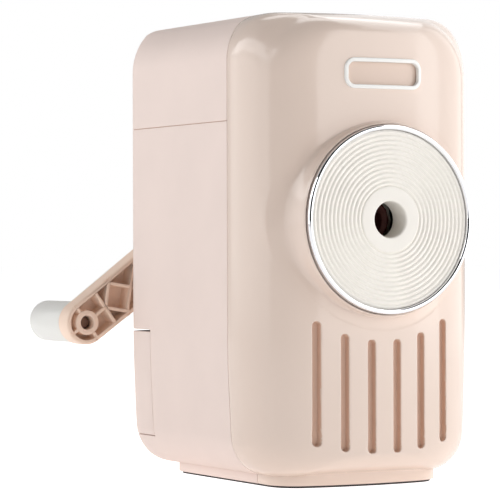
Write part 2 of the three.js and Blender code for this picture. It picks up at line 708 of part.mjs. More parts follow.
function makeTopCover() {
  const shell = common(shellWall, behindSeam, aboveCover);
  const rim = common(lip, aboveCover);
  const hookOuter = BODY_WIDTH / 2 - WALL - GAP;
  const rootTop = COVER_SEAM + HOOK_DROP / 2;
  const hooks = [];
  for (const side of [-1, 1]) {
    for (const front of [SHELL_SEAM + HOOK_FROM_SEAM, BODY_DEPTH - HOOK_FROM_BACK - HOOK_WIDTH]) {
      const x = [side * hookOuter, side * (hookOuter - HOOK_WALL)].sort((a, b) => a - b);
      const root = [side * (hookOuter - HOOK_WALL), side * (hookOuter + GAP + BURY)];
      root.sort((a, b) => a - b);
      hooks.push(block(...x, front, front + HOOK_WIDTH, COVER_SEAM - HOOK_DROP, rootTop));
      hooks.push(block(...root, front, front + HOOK_WIDTH, COVER_SEAM + halfSeam, rootTop));
    }
  }
  return join(shell, rim, ...hooks);
}

// ---- Dial ---------------------------------------------------------------------------------------

const discBack = DIAL_SEAT - GAP;
const lockGrooveFront = seatBack + GAP;
const lockGrooveBack = lockGrooveFront + LOCK_RING_THICKNESS + GAP;
const lockGrooveRadius = HUB_TUBE_RADIUS - LOCK_GROOVE_DEPTH;

function makeDialDisc() {
  const rim = RING_RADIUS - RING_WIDTH - GAP;
  const pitch = (rim - HUB_FACE_RADIUS) / RIDGE_COUNT;
  const ridges = [];
  for (let i = 0; i < RIDGE_COUNT; i++) {
    const groove = HUB_FACE_RADIUS + i * pitch;
    ridges.push([groove, DISC_FACE + RIDGE_HEIGHT], [groove + pitch / 2, DISC_FACE]);
  }
  return turned([
    [PENCIL_BORE + BORE_CHAMFER, DISC_FACE],
    [HUB_FACE_RADIUS - pitch / 4, DISC_FACE],
    ...ridges,
    [rim, DISC_FACE + RIDGE_HEIGHT],
    [rim, discBack],
    [rim - DISC_SKIRT, discBack],
    [rim - DISC_SKIRT, DISC_FACE + DISC_PLATE],
    [HUB_TUBE_RADIUS, DISC_FACE + DISC_PLATE],
    [HUB_TUBE_RADIUS, lockGrooveFront],
    [lockGrooveRadius, lockGrooveFront],
    [lockGrooveRadius, lockGrooveBack],
    [HUB_TUBE_RADIUS, lockGrooveBack],
    [HUB_TUBE_RADIUS, HUB_TUBE_BACK],
    [PENCIL_BORE, HUB_TUBE_BACK],
    [PENCIL_BORE, DISC_FACE + BORE_CHAMFER],
  ]);
}

function makeChromeRing() {
  const half = RING_WIDTH / 2;
  const crestSteps = 4;
  const profile = [[RING_RADIUS, discBack]];
  for (let i = 0; i <= crestSteps; i++) {
    const angle = (Math.PI * i) / crestSteps;
    const radius = RING_RADIUS - half + half * Math.cos(angle);
    profile.push([radius, RING_CREST + half - half * Math.sin(angle)]);
  }
  profile.push([RING_RADIUS - RING_WIDTH, discBack]);
  return turned(profile);
}

function makeLockRing() {
  const inner = lockGrooveRadius + GAP;
  const front = lockGrooveFront + GAP / 2;
  const back = front + LOCK_RING_THICKNESS;
  const ring = tube(inner, LOCK_RING_RADIUS, front, back);
  const mouth = block(-inner / 2, inner / 2, front - 1, back + 1, -2 * LOCK_RING_RADIUS, 0);
  return cut(ring, mouth);
}

// ---- Gears --------------------------------------------------------------------------------------

// Puts a piece drawn along the Y axis, with its apex at the origin, onto the tilted cutter axis.
const cutterFrame = new THREE.Matrix4()
  .makeTranslation(0, APEX_BACK, 0)
  .multiply(new THREE.Matrix4().makeRotationY(CUTTER_ROLL))
  .multiply(new THREE.Matrix4().makeRotationX(-TILT));

const cheekFront = HOUSING_FRONT + HOUSING_WALL + GAP + BUSH_FLANGE + GAP;
const ringFront = cheekFront + CHEEK_THICKNESS + GAP + RING_SEAT_LEDGE / 3;
const ringLength = GEAR_WIDTH + RING_EXTRA_WIDTH;
const meshY = ringFront + ringLength / 2;
const ringPitch = (APEX_BACK - meshY) * Math.tan(RING_CONE);
const gearModule = (2 * ringPitch) / RING_TEETH;
// Along the pinion's axis, from the apex to the middle of its teeth.
const pinionMiddle = ((APEX_BACK - meshY) / Math.cos(RING_CONE)) * Math.cos(PINION_CONE);
const pinionPitch = pinionMiddle * Math.tan(PINION_CONE);
const pinionTip = pinionPitch + TOOTH_ADDENDUM * gearModule;
const ringRoot = ringPitch + TOOTH_DEDENDUM * gearModule;
const ringOuter = ringRoot + RING_RIM;

// Half the angle that an involute tooth covers at a radius.
function toothHalfAngle(radius, pitch, thinning) {
  const involute = (angle) => Math.tan(angle) - angle;
  const base = pitch * Math.cos(PRESSURE_ANGLE);
  const at = Math.acos(Math.min(1, base / radius));
  const half = (Math.PI * gearModule) / 4 - thinning;
  return half / pitch + involute(PRESSURE_ANGLE) - involute(at);
}

// The outline of a gear. The gaps of an internal gear have the form of an external gear's teeth.
function gearPoints(teeth, pitch, inner, outer, thinning, phase) {
  const flankSteps = 3;
  const points = [];
  for (let tooth = 0; tooth < teeth; tooth++) {
    const middle = phase + (2 * Math.PI * tooth) / teeth;
    for (const side of [-1, 1]) {
      for (let i = 0; i < flankSteps; i++) {
        const share = i / (flankSteps - 1);
        const radius = side < 0 ? inner + (outer - inner) * share : outer - (outer - inner) * share;
        const angle = middle + side * toothHalfAngle(radius, pitch, thinning);
        points.push(pair(radius * Math.cos(angle), radius * Math.sin(angle)));
      }
    }
  }
  return points;
}

// A toothed body whose section grows in proportion to its distance from the apex.
// The outline is drawn at the distance "drawn" and the body runs from "near" to "far".
function taperedTeeth(points, drawn, near, far, matrix) {
  const geometry = extruded(new THREE.Shape(points), far - near);
  const position = geometry.getAttribute("position");
  for (let i = 0; i < position.count; i++) {
    const distance = near + position.getZ(i);
    const scale = distance / drawn;
    position.setXYZ(i, position.getX(i) * scale, -distance, position.getY(i) * scale);
  }
  return toSolid(geometry, matrix);
}

function makeRingGear() {
  const rim = rod(ringOuter, ringFront, ringFront + ringLength);
  const inner = ringPitch - TOOTH_ADDENDUM * gearModule;
  const gaps = gearPoints(RING_TEETH, ringPitch, inner, ringRoot, -TOOTH_THINNING, CUTTER_ROLL_PHASE);
  const drawn = APEX_BACK - meshY;
  const matrix = new THREE.Matrix4().makeTranslation(0, APEX_BACK, 0);
  const plug = taperedTeeth(gaps, drawn, drawn - ringLength, drawn + ringLength, matrix);
  return cut(rim, plug);
}

// The gap of the ring gear that the pinion's outermost tooth fills at rest.
const CUTTER_ROLL_PHASE = Math.PI / 2 - CUTTER_ROLL;

const pinionNear = pinionMiddle - GEAR_WIDTH / 2;
const pinionFar = pinionMiddle + GEAR_WIDTH / 2;

function makePinion() {
  const inner = pinionPitch - TOOTH_DEDENDUM * gearModule;
  const teeth = gearPoints(
    PINION_TEETH, pinionPitch, inner, pinionTip, TOOTH_THINNING, Math.PI / 2);
  const body = taperedTeeth(teeth, pinionMiddle, pinionNear, pinionFar, cutterFrame);
  return cut(body, alongCutter(AXLE_RADIUS + GAP, pinionNear - BEYOND, pinionFar + BEYOND));
}

// A rod on the cutter axis, between two distances from the apex.
function alongCutter(radius, near, far) {
  const profile = [[0, -far], [radius, -far], [radius, -near], [0, -near]];
  const points = profile.map(([r, y]) => pair(r, y));
  const segments = 4 * Math.ceil(Math.PI / 4 / Math.acos(1 - FACET / radius));
  return toSolid(new THREE.LatheGeometry(points, segments), cutterFrame);
}

// ---- Cutter -------------------------------------------------------------------------------------

const cutterFar = pinionNear - CUTTER_SHOULDER;
const cutterNear = (APEX_BACK - POINT_BACK - CUTTER_END_PAST_POINT) / Math.cos(TILT);

// A milling cutter: sawtooth flutes that wind round the body.
function makeCutter() {
  const slices = 10;
  const rings = [];
  for (let s = 0; s <= slices; s++) {
    const share = s / slices;
    const y = -cutterFar + (cutterFar - cutterNear) * share;
    const twist = 2 * Math.PI * FLUTE_TURNS * share;
    const ring = [];
    for (let i = 0; i < FLUTES; i++) {
      const start = (2 * Math.PI * i) / FLUTES + twist;
      const step = (2 * Math.PI) / FLUTES;
      for (const [at, radius] of [[0, CUTTER_RADIUS], [0.35, CUTTER_RADIUS - FLUTE_DEPTH / 3],
        [0.8, CUTTER_RADIUS - FLUTE_DEPTH]]) {
        const angle = start + at * step;
        ring.push(new THREE.Vector3(radius * Math.cos(angle), y, radius * Math.sin(angle)));
      }
    }
    rings.push(ring);
  }
  const body = toSolid(fanLoft(rings), cutterFrame);
  return cut(body, alongCutter(AXLE_RADIUS + GAP, cutterNear - BEYOND, cutterFar + BEYOND));
}

// A closed skin through rings round the Y axis, each end closed by a fan from its middle.
function fanLoft(rings) {
  const count = rings[0].length;
  const position = rings.flat().flatMap((p) => [p.x, p.y, p.z]);
  const index = [];
  for (let r = 0; r + 1 < rings.length; r++) {
    for (let i = 0; i < count; i++) {
      const next = (i + 1) % count;
      const a = r * count + i;
      const b = r * count + next;
      index.push(a, a + count, b, b, a + count, b + count);
    }
  }
  const last = (rings.length - 1) * count;
  const middles = position.length / 3;
  position.push(0, rings[0][0].y, 0, 0, rings.at(-1)[0].y, 0);
  for (let i = 0; i < count; i++) {
    const next = (i + 1) % count;
    index.push(i, next, middles);
    index.push(last + next, last + i, middles + 1);
  }
  const geometry = new THREE.BufferGeometry();
  geometry.setAttribute("position", new THREE.Float32BufferAttribute(position, 3));
  geometry.setIndex(index);
  return geometry;
}

const rearCheekFront = APEX_BACK - (cutterNear - GAP) * Math.cos(TILT);
const rearCheekBack = rearCheekFront + REAR_CHEEK_THICKNESS;
const journalBack = rearCheekBack + JOURNAL_LENGTH;

function makeCutterAxle() {
  const near = (APEX_BACK - rearCheekBack + 2 * GAP) / Math.cos(TILT);
  const far = (APEX_BACK - cheekFront - 2 * GAP) / Math.cos(TILT);
  return alongCutter(AXLE_RADIUS, near, far);
}

// ---- Carrier ------------------------------------------------------------------------------------

const sleeveRadius = SLEEVE_BORE + SLEEVE_WALL;
const sleeveFront = HUB_TUBE_BACK + SLEEVE_CLEAR_OF_HUB;

// The hole for the shaft's flatted end: a round with a flat above it.
function flattedHole(front, back, turn = 0) {
  const radius = SHAFT_RADIUS + GAP;
  const angle = Math.acos((SHAFT_FLAT + GAP) / radius);
  const shape = closedShape(arc(0, 0, radius, angle + Math.PI / 2, 2.5 * Math.PI - angle));
  const matrix = new THREE.Matrix4()
    .makeRotationY(turn)
    .multiply(new THREE.Matrix4().makeTranslation(0, back, 0))
    .multiply(new THREE.Matrix4().makeRotationX(Math.PI / 2));
  return toSolid(extruded(shape, back - front), matrix);
}

function makeCarrier() {
  const sleeve = rod(sleeveRadius, sleeveFront, cheekFront + SLEEVE_LENGTH);
  const cheek = rod(CHEEK_RADIUS, cheekFront, cheekFront + CHEEK_THICKNESS);
  const backbone = rod(BACKBONE_RADIUS, cutterSideFront, rearCheekBack);
  const rearCheek = rod(REAR_CHEEK_RADIUS, rearCheekFront - CHEEK_THICKNESS, rearCheekBack);
  const journal = rod(JOURNAL_RADIUS, rearCheekBack - BURY, journalBack);
  const whole = join(sleeve, cheek, backbone, rearCheek, journal);

  const coneTop = POINT_BACK - SLEEVE_BORE / Math.tan(TILT);
  const boreTip = CONE_CLEARANCE;
  const pencilBore = turned([
    [0, sleeveFront - BEYOND],
    [SLEEVE_BORE + BEYOND, sleeveFront - BEYOND],
    [SLEEVE_BORE, sleeveFront + 1],
    [SLEEVE_BORE, coneTop + CONE_CLEARANCE / Math.tan(TILT)],
    [boreTip, POINT_BACK + GAP],
    [0, POINT_BACK + GAP],
  ]);
  const cutterRoom = alongCutter(CUTTER_RADIUS + GAP, cutterNear - GAP, cutterFar + GAP);
  const pinionRoom = alongCutter(pinionTip + 2 * GAP, pinionNear - GAP, pinionFar + GAP);
  const axleHole = alongCutter(AXLE_RADIUS + GAP, cutterNear - 2 * BEYOND, pinionFar + BEYOND);
  const shaftHole = flattedHole(rearCheekBack, journalBack + BEYOND, -CRANK_ANGLE);
  // The side of the backbone that the shavings leave by, next to the cutter.
  const relief = reliefBesideCutter();
  return cut(whole, relief, pencilBore, cutterRoom, pinionRoom, axleHole, shaftHole);
}

const cutterSideFront = meshY + ringLength / 2;

// An open half: the backbone keeps only the side away from the cutter.
function reliefBesideCutter() {
  const from = cutterSideFront - GAP;
  const to = rearCheekFront - CHEEK_THICKNESS;
  const box = new THREE.BoxGeometry(4 * BACKBONE_RADIUS, to - from, 2 * BACKBONE_RADIUS);
  const matrix = new THREE.Matrix4()
    .makeRotationY(CUTTER_ROLL)
    .multiply(new THREE.Matrix4().makeTranslation(0, (from + to) / 2, BACKBONE_RADIUS));
  return toSolid(box, matrix);
}

// ---- Housing, bushes and shaft ------------------------------------------------------------------

const barrelInner = ringOuter + GAP;
const barrelOuter = barrelInner + BARREL_WALL;
const rearWallFront = rearCheekBack + GAP + BUSH_FLANGE + GAP;
const rearWallBack = rearWallFront + HOUSING_WALL;
const frontBushOuter = sleeveRadius + GAP + BUSH_WALL;
const rearBushOuter = JOURNAL_RADIUS + GAP + BUSH_WALL;

function makeHousing() {
  const frontWallBack = HOUSING_FRONT + HOUSING_WALL;
  const flange = prismY(
    roundedRectangle(-FLANGE_HALF, FLANGE_HALF, -FLANGE_HALF, FLANGE_HALF, FLANGE_CORNER),
    HOUSING_FRONT, frontWallBack);
  const barrel = rod(barrelOuter, frontWallBack - BURY, rearWallBack);
  const ledge = rod(barrelInner - RING_SEAT_LEDGE, frontWallBack, ringFront);
  const inside = rod(barrelInner, ringFront - GAP, rearWallFront);
  const frontHole = rod(frontBushOuter + GAP, HOUSING_FRONT - BEYOND, frontWallBack + BEYOND);
  const rearHole = rod(rearBushOuter + GAP, rearWallFront - BEYOND, rearWallBack + BEYOND);
  const window = block(
    -WINDOW_HALF_WIDTH, WINDOW_HALF_WIDTH, ringFront + ringLength + GAP,
    rearWallFront - WINDOW_BACK_MARGIN, -2 * barrelOuter, -barrelInner / 2);
  const holes = corners.map(([x, z]) =>
    rod(screwHole, HOUSING_FRONT - BEYOND, frontWallBack + BEYOND, x * SCREW_OFFSET, z * SCREW_OFFSET));
  return cut(join(flange, barrel), ledge, inside, frontHole, rearHole, window, ...holes);
}

// A plain bearing whose flange lies inside the wall that holds it.
function flangedBush(inner, outer, flangeFront, flangeBack, bodyFront, bodyBack) {
  const flangeRadius = outer + BUSH_FLANGE_REACH;
  return join(
    tube(inner, outer, bodyFront, bodyBack),
    tube(inner, flangeRadius, flangeFront, flangeBack),
  );
}

function makeFrontBush() {
  const wallBack = HOUSING_FRONT + HOUSING_WALL;
  return flangedBush(sleeveRadius + GAP, frontBushOuter, wallBack + GAP,
    wallBack + GAP + BUSH_FLANGE, HOUSING_FRONT, wallBack + GAP + BUSH_FLANGE);
}

function makeRearBush() {
  return flangedBush(JOURNAL_RADIUS + GAP, rearBushOuter, rearWallFront - GAP - BUSH_FLANGE,
    rearWallFront - GAP, rearWallFront - GAP - BUSH_FLANGE, journalBack - GAP);
}

function makeWallBush() {
  const outer = SHAFT_RADIUS + GAP + BUSH_WALL;
  const wallFront = BODY_DEPTH - WALL;
  return flangedBush(SHAFT_RADIUS + GAP, outer, wallFront - GAP - BUSH_FLANGE,
    wallFront - GAP, wallFront - GAP - BUSH_FLANGE, collarBack);
}

const shaftFront = rearCheekBack + GAP;
const clipFront = journalBack + GAP;
const hubNeckFront = collarBack + GAP;
const hubBoreBack = CRANK_FRONT + ARM_THICKNESS - CAP_THICKNESS - GAP - CRANK_SCREW_HEAD - HUB_WEB;
const shaftBack = hubBoreBack - GAP;
const webBack = hubBoreBack + HUB_WEB;
const crankScrewShank = 1.3;

function makeShaft() {
  const grooveRadius = SHAFT_RADIUS - CLIP_GROOVE;
  const grooveBack = clipFront + CLIP_THICKNESS + GAP;
  const edge = 0.4;
  const round = turned([
    [0, shaftFront],
    [SHAFT_RADIUS, shaftFront],
    [SHAFT_RADIUS, clipFront - GAP / 2],
    [grooveRadius, clipFront - GAP / 2],
    [grooveRadius, grooveBack],
    [SHAFT_RADIUS, grooveBack],
    [SHAFT_RADIUS, shaftBack - edge],
    [SHAFT_RADIUS - edge, shaftBack],
    [0, shaftBack],
  ]);
  const flats = [
    block(-BEYOND, BEYOND, shaftFront - 1, journalBack, SHAFT_FLAT, BEYOND),
    block(-BEYOND, BEYOND, hubNeckFront, shaftBack + 1, SHAFT_FLAT, BEYOND),
  ];
  const thread = rod(crankScrewShank + GAP, shaftBack - CRANK_SCREW_LENGTH, shaftBack + BEYOND);
  return cut(round, ...flats, thread);
}

function makeShaftClip() {
  const inner = SHAFT_RADIUS - CLIP_GROOVE + GAP;
  const ring = tube(inner, CLIP_RADIUS, clipFront, clipFront + CLIP_THICKNESS);
  const mouth = block(-inner, inner, clipFront - 1, clipFront + CLIP_THICKNESS + 1, 0, BEYOND * 2);
  return cut(ring, mouth);
}

// ---- Crank --------------------------------------------------------------------------------------

// The crank's pieces are drawn with the arm along -X and its pivot on the Y axis, then turned
// about the crank axis to where the arm rests.
const bossX = -CRANK_RADIUS;

function armOutline(inset) {
  const hub = CRANK_HUB_RADIUS - inset;
  const end = ARM_END_RADIUS - inset;
  const upper = Math.acos(-(hub - end) / CRANK_RADIUS);
  const lowerLine = ARM_LOWER_EDGE - inset;
  const lower = -Math.PI / 2 + Math.asin((end - lowerLine) / CRANK_RADIUS);
  const normal = pair(Math.cos(lower), Math.sin(lower));
  const along = pair(normal.y, -normal.x);
  const fillet = ARM_HUB_FILLET + inset;
  const run = Math.sqrt((hub + fillet) ** 2 - (lowerLine + fillet) ** 2);
  const middle = normal.clone().multiplyScalar(lowerLine + fillet).addScaledVector(along, run);
  const hubEnd = Math.atan2(middle.y, middle.x);
  return closedShape(
    arc(0, 0, hub, upper, hubEnd),
    arc(middle.x, middle.y, fillet, hubEnd + Math.PI, lower + Math.PI),
    arc(bossX, 0, end, lower, upper - 2 * Math.PI),
  );
}

// The truss of ribs: a cross of ribs round the knob boss, then a row of crossings along the arm.
function armRibs(front, back) {
  const slope = Math.atan2((CRANK_HUB_RADIUS - ARM_LOWER_EDGE) / 2, CRANK_RADIUS);
  const along = pair(Math.cos(slope), Math.sin(slope));
  const across = pair(-along.y, along.x);
  const boss = pair(bossX, 0);
  const reach = ARM_END_RADIUS - ARM_WALL / 2;
  const pitch = 2 * (ARM_END_RADIUS - ARM_WALL);
  const at = (s, t) => boss.clone().addScaledVector(along, s).addScaledVector(across, t);
  const bars = [
    [at(-reach, 0), at(FIRST_CROSSING, 0)],
    [at(0, -reach), at(0, reach)],
    [at(FIRST_CROSSING, -reach), at(FIRST_CROSSING, reach)],
  ];
  for (let i = 0; i < CROSSINGS; i++) {
    const s = FIRST_CROSSING + i * pitch;
    const back = i === 0 ? 0 : reach;
    bars.push([at(s - back, -back), at(s + reach, reach)]);
    bars.push([at(s - back, back), at(s + reach, -reach)]);
  }
  for (let i = 0; i < HUB_RIBS; i++) {
    const angle = (2 * Math.PI * (i + 0.5)) / HUB_RIBS;
    const tip = CRANK_HUB_RADIUS - ARM_WALL / 2;
    bars.push([pair(0, 0), pair(tip * Math.cos(angle), tip * Math.sin(angle))]);
  }
  return bars.map(([from, to]) => prismY(barShape(from, to, RIB), front, back));
}

// A plate with rounded edges all round.
function roundedPlate(shape, front, back) {
  const options = {
    depth: back - front - 2 * ARM_EDGE_RUN,
    bevelEnabled: true,
    bevelThickness: ARM_EDGE_RUN,
    bevelSize: ARM_EDGE_RUN,
    bevelOffset: -ARM_EDGE_RUN,
    bevelSegments: 2,
    curveSegments: 1,
  };
  const matrix = new THREE.Matrix4()
    .makeRotationX(Math.PI / 2)
    .setPosition(0, back - ARM_EDGE_RUN, 0);
  return toSolid(new THREE.ExtrudeGeometry(shape, options), matrix);
}

const armBack = CRANK_FRONT + ARM_THICKNESS;

function makeCrankArm() {
  const plate = roundedPlate(armOutline(0), CRANK_FRONT, armBack);
  const pocketBack = armBack - ARM_FLOOR;
  const kept = CRANK_FRONT - 1;
  const pocket = cut(
    prismY(armOutline(ARM_WALL), kept, pocketBack),
    rod(KNOB_BOSS_RADIUS, kept - 1, armBack, bossX),
    rod(HUB_CORE_RADIUS, kept - 1, armBack),
    ...armRibs(kept - 1, armBack),
  );
  const neck = rod(HUB_CORE_RADIUS, hubNeckFront, CRANK_FRONT + BURY);
  const bore = flattedHole(hubNeckFront - 1, hubBoreBack);
  const screwWay = rod(crankScrewShank + GAP, hubBoreBack - 1, webBack + 1);
  const capPocket = rod(CAP_RADIUS + GAP, webBack, armBack + BEYOND);
  const axleHole = rod(KNOB_AXLE_RADIUS + GAP, CRANK_FRONT - BEYOND, armBack + BEYOND, bossX);
  return cut(join(cut(plate, pocket), neck), bore, screwWay, capPocket, axleHole);
}

function makeCrankScrew() {
  const head = CAP_RADIUS - 2 * GAP;
  return screwForward(0, 0, webBack + 0.1, CRANK_SCREW_LENGTH, crankScrewShank, head,
    CRANK_SCREW_HEAD - 0.1);
}

function makeScrewCap() {
  const edge = 0.3;
  return turned([
    [0, armBack - CAP_THICKNESS],
    [CAP_RADIUS, armBack - CAP_THICKNESS],
    [CAP_RADIUS, armBack - edge],
    [CAP_RADIUS - edge, armBack],
    [0, armBack],
  ]);
}

const knobFront = armBack + GAP;
const knobBoreBack = knobFront + KNOB_BORE_DEPTH;

function makeKnobAxle() {
  const edge = 0.3;
  const front = CRANK_FRONT + KNOB_AXLE_RECESS;
  const back = knobBoreBack - GAP;
  return turned([
    [0, front],
    [KNOB_AXLE_RADIUS - edge, front],
    [KNOB_AXLE_RADIUS, front + edge],
    [KNOB_AXLE_RADIUS, back - edge],
    [KNOB_AXLE_RADIUS - edge, back],
    [0, back],
  ], bossX);
}

function makeKnob() {
  const back = knobFront + KNOB_LENGTH;
  const bore = KNOB_AXLE_RADIUS + GAP;
  const endSteps = 4;
  const dome = [];
  for (let i = 0; i <= endSteps; i++) {
    const angle = (Math.PI / 2) * (i / endSteps);
    const radius = KNOB_RADIUS - KNOB_END_ROUND * (1 - Math.cos(angle));
    dome.push([radius, back - KNOB_END_ROUND * (1 - Math.sin(angle))]);
  }
  const edge = 0.5;
  return turned([
    [0, knobBoreBack],
    [bore, knobBoreBack],
    [bore, knobFront],
    [KNOB_RADIUS - edge, knobFront],
    [KNOB_RADIUS, knobFront + edge],
    ...dome,
    [0, back],
  ], bossX);
}

// ---- Drawer -------------------------------------------------------------------------------------

function makeDrawer() {
  const front = DRAWER_SEAM + halfSeam;
  const faceSpace = block(-FAR, FAR, front, FAR, DRAWER_BOTTOM, DRAWER_TOP);
  const face = common(shellWall, faceSpace);
  const cheeks = common(casing(WALL - BURY), faceSpace);
  const tubBottom = DRAWER_BOTTOM + TUB_ABOVE_FACE_BOTTOM;
  const tubTop = DRAWER_TOP - TUB_BELOW_FACE_TOP;
  const section = (inset, top) => {
    const half = TUB_HALF_WIDTH - inset;
    const quarter = Math.PI / 2;
    const radius = TUB_CORNER - inset;
    return closedShape(
      [pair(half, top), pair(-half, top)],
      arc(-half + radius, tubBottom + inset + radius, radius, 2 * quarter, 3 * quarter),
      arc(half - radius, tubBottom + inset + radius, radius, 3 * quarter, 4 * quarter),
    );
  };
  const tub = prismY(section(0, tubTop), TUB_FRONT, front + WALL);
  const cavityBack = BODY_DEPTH - WALL - TUB_WALL;
  const cavity = prismY(section(TUB_WALL, DRAWER_TOP + BEYOND), TUB_FRONT + TUB_WALL, cavityBack);
  const grip = rod(GRIP_RADIUS, BODY_DEPTH - GRIP_DEPTH, BODY_DEPTH + BEYOND, 0,
    DRAWER_TOP + GRIP_RADIUS - GRIP_HEIGHT);
  return cut(join(face, cheeks, tub), cavity, grip);
}

function makeShellScrew(side) {
  const x = side * SHELL_SCREW_OFFSET;
  const y = SHELL_SEAM - SHELL_SCREW_FROM_SEAM;
  const headBottom = PAD_TOP + GAP;
  const headTop = headBottom + SCREW_HEAD;
  const head = uprightRod(SCREW_HEAD_RADIUS, headBottom, headTop, x, y);
  const shank = uprightRod(SCREW_SHANK, headTop - BURY, headTop + SCREW_LENGTH, x, y);
  return join(head, shank);
}

// ---- Assembly -----------------------------------------------------------------------------------

const sharpener = new THREE.Group();
const casingGroup = new THREE.Group();
const mechanism = new THREE.Group();
const crank = new THREE.Group();
sharpener.add(casingGroup, mechanism, crank);

function addPiece(group, name, solid, material) {
  const piece = new THREE.Mesh(toGeometry(solid), material);
  piece.name = name;
  group.add(piece);
}

addPiece(casingGroup, "front_shell", makeFrontShell(), pinkGloss);
addPiece(casingGroup, "body_shell", makeBodyShell(), pinkSatin);
addPiece(casingGroup, "top_cover", makeTopCover(), pinkSatin);
addPiece(casingGroup, "nonslip_pad", makePad(), padRubber);
addPiece(casingGroup, "badge_frame", makeBadgeFrame(), whiteGloss);
addPiece(casingGroup, "shavings_drawer", makeDrawer(), pinkSatin);
addPiece(casingGroup, "dial_disc", makeDialDisc(), whiteGloss);
addPiece(casingGroup, "chrome_ring", makeChromeRing(), chrome);
addPiece(casingGroup, "dial_lock_ring", makeLockRing(), zincSteel);
addPiece(casingGroup, "shell_screw_left", makeShellScrew(-1), zincSteel);
addPiece(casingGroup, "shell_screw_right", makeShellScrew(1), zincSteel);

addPiece(mechanism, "cutter_housing", makeHousing(), mechanismGrey);
addPiece(mechanism, "ring_gear", makeRingGear(), nylon);
addPiece(mechanism, "front_bush", makeFrontBush(), nylon);
addPiece(mechanism, "rear_bush", makeRearBush(), nylon);
addPiece(mechanism, "wall_bush", makeWallBush(), nylon);
corners.forEach(([x, z], i) => {
  const seat = HOUSING_FRONT + HOUSING_WALL + GAP;
  const screw = screwForward(x * SCREW_OFFSET, z * SCREW_OFFSET, seat, SCREW_LENGTH);
  addPiece(mechanism, "housing_screw_" + (i + 1), screw, zincSteel);
});
addPiece(mechanism, "cutter_carrier", makeCarrier(), carrierBrown);
addPiece(mechanism, "cutter_axle", makeCutterAxle(), zincSteel);
addPiece(mechanism, "helical_cutter", makeCutter(), toolSteel);
addPiece(mechanism, "cutter_pinion", makePinion(), zincSteel);

crank.rotation.y = -CRANK_ANGLE;
addPiece(crank, "crank_shaft", makeShaft(), zincSteel);
addPiece(crank, "shaft_clip", makeShaftClip(), toolSteel);
addPiece(crank, "crank_arm", makeCrankArm(), pinkSatin);
addPiece(crank, "crank_screw", makeCrankScrew(), zincSteel);
addPiece(crank, "screw_cap", makeScrewCap(), whiteGloss);
addPiece(crank, "knob_axle", makeKnobAxle(), zincSteel);
addPiece(crank, "crank_knob", makeKnob(), whiteGloss);

sharpener.position.set(0, -(PLINTH_FRONT + PLINTH_BACK) / 2, AXIS_HEIGHT);

export default sharpener;
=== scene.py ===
# The look of the desk pencil sharpener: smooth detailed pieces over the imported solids, materials, light and camera.
import math

import bmesh
import bpy
import numpy as np
from mathutils import Matrix, Vector


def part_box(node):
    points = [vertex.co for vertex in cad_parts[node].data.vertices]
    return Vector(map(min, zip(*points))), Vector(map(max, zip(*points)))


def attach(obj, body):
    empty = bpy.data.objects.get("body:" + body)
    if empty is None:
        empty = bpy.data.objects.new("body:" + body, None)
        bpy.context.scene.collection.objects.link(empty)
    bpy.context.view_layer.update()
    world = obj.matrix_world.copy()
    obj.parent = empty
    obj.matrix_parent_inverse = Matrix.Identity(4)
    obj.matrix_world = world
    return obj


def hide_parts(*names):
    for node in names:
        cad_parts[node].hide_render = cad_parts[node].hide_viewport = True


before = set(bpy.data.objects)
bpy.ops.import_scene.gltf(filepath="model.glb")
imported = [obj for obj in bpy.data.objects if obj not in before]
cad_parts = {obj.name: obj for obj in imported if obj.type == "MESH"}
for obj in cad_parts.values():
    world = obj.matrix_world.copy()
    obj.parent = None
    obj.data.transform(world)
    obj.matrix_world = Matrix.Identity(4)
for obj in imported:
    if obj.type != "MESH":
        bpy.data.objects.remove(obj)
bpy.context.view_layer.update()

MM = 0.001
QUARTER = math.pi / 2

# ---- Sizes, in millimetres ----
# Most are the solids' own. The corners, the top's edge, the ring, the dial's seat, the hub tube and the lips behind
# the seams differ a little from them.
HALF_WIDTH, TOP, BOTTOM, DEPTH, WALL = 34.6, 55.8, 68.5, 88.6, 2.6
TOP_CORNER, BOTTOM_CORNER, FACE_CORNER = 17.5, 11.6, 7.0
# Behind the front the side turns in to a soft edge along the top.
SHOULDER_RADIUS, SHOULDER_TURN, SHOULDER_FROM = 15.0, math.radians(43), 0.75
TOP_EDGE_TURN, TOP_CROWN = math.radians(56), 700.0
EDGE_DROP_FRONT, EDGE_DROP_BACK = 2.9, 2.1  # of the edge below the top, at the seam and at the back
DRAFT, DRAFT_FROM = 0.95, 32.0  # how much the sides draw in towards the bottom, and from how far below the axis
# The faces' own bow, how far in from the sides their flat middle lies, and how far in from the top and the bottom.
FRONT_CROWN, FRONT_SIDE, FRONT_EDGE = 91.6, 18.4, (6.7, 6.7)
REAR_CROWN, REAR_SIDE, REAR_EDGE = 320.0, 7.8, (14.0, 6.0)
SEAM, COVER_SEAM, HALF_SEAM = 23.8, 26.6, 0.08
SEAM_DEPTH, LIP_THICKNESS, LIP_REACH = 0.3, 0.8, 0.8  # of the lip behind a seam
DRAWER_SEAM, DRAWER_TOP, DRAWER_BOTTOM, DRAWER_TOP_GAP, DRAWER_BOTTOM_GAP = 70.7, -30.9, -60.2, 0.6, 0.3
RING_RADIUS, RING_WIDTH, RING_CREST, RING_POCKET = 25.05, 1.3, -3.9, 25.15
DISC_FACE, DISC_RIM, DISC_BACK, HUB_FACE, PENCIL_BORE = -3.2, 23.65, 1.6, 8.9, 4.8
DISC_RIDGES, RIDGE_DEPTH, HUB_TUBE_RADIUS, HUB_TUBE_BACK = 12, 0.38, 6.4, 3.6
SEAT_LAND, SEAT_RIM, FLARE_RADIUS, FLARE_BACK = -2.45, 25.6, 31.4, 9.5
BEYOND = 6.0  # how far a cutting tool reaches past what it cuts
LIP_JOIN = 29.6  # radius where the dial seat's own mesh meets the rest of the front shell
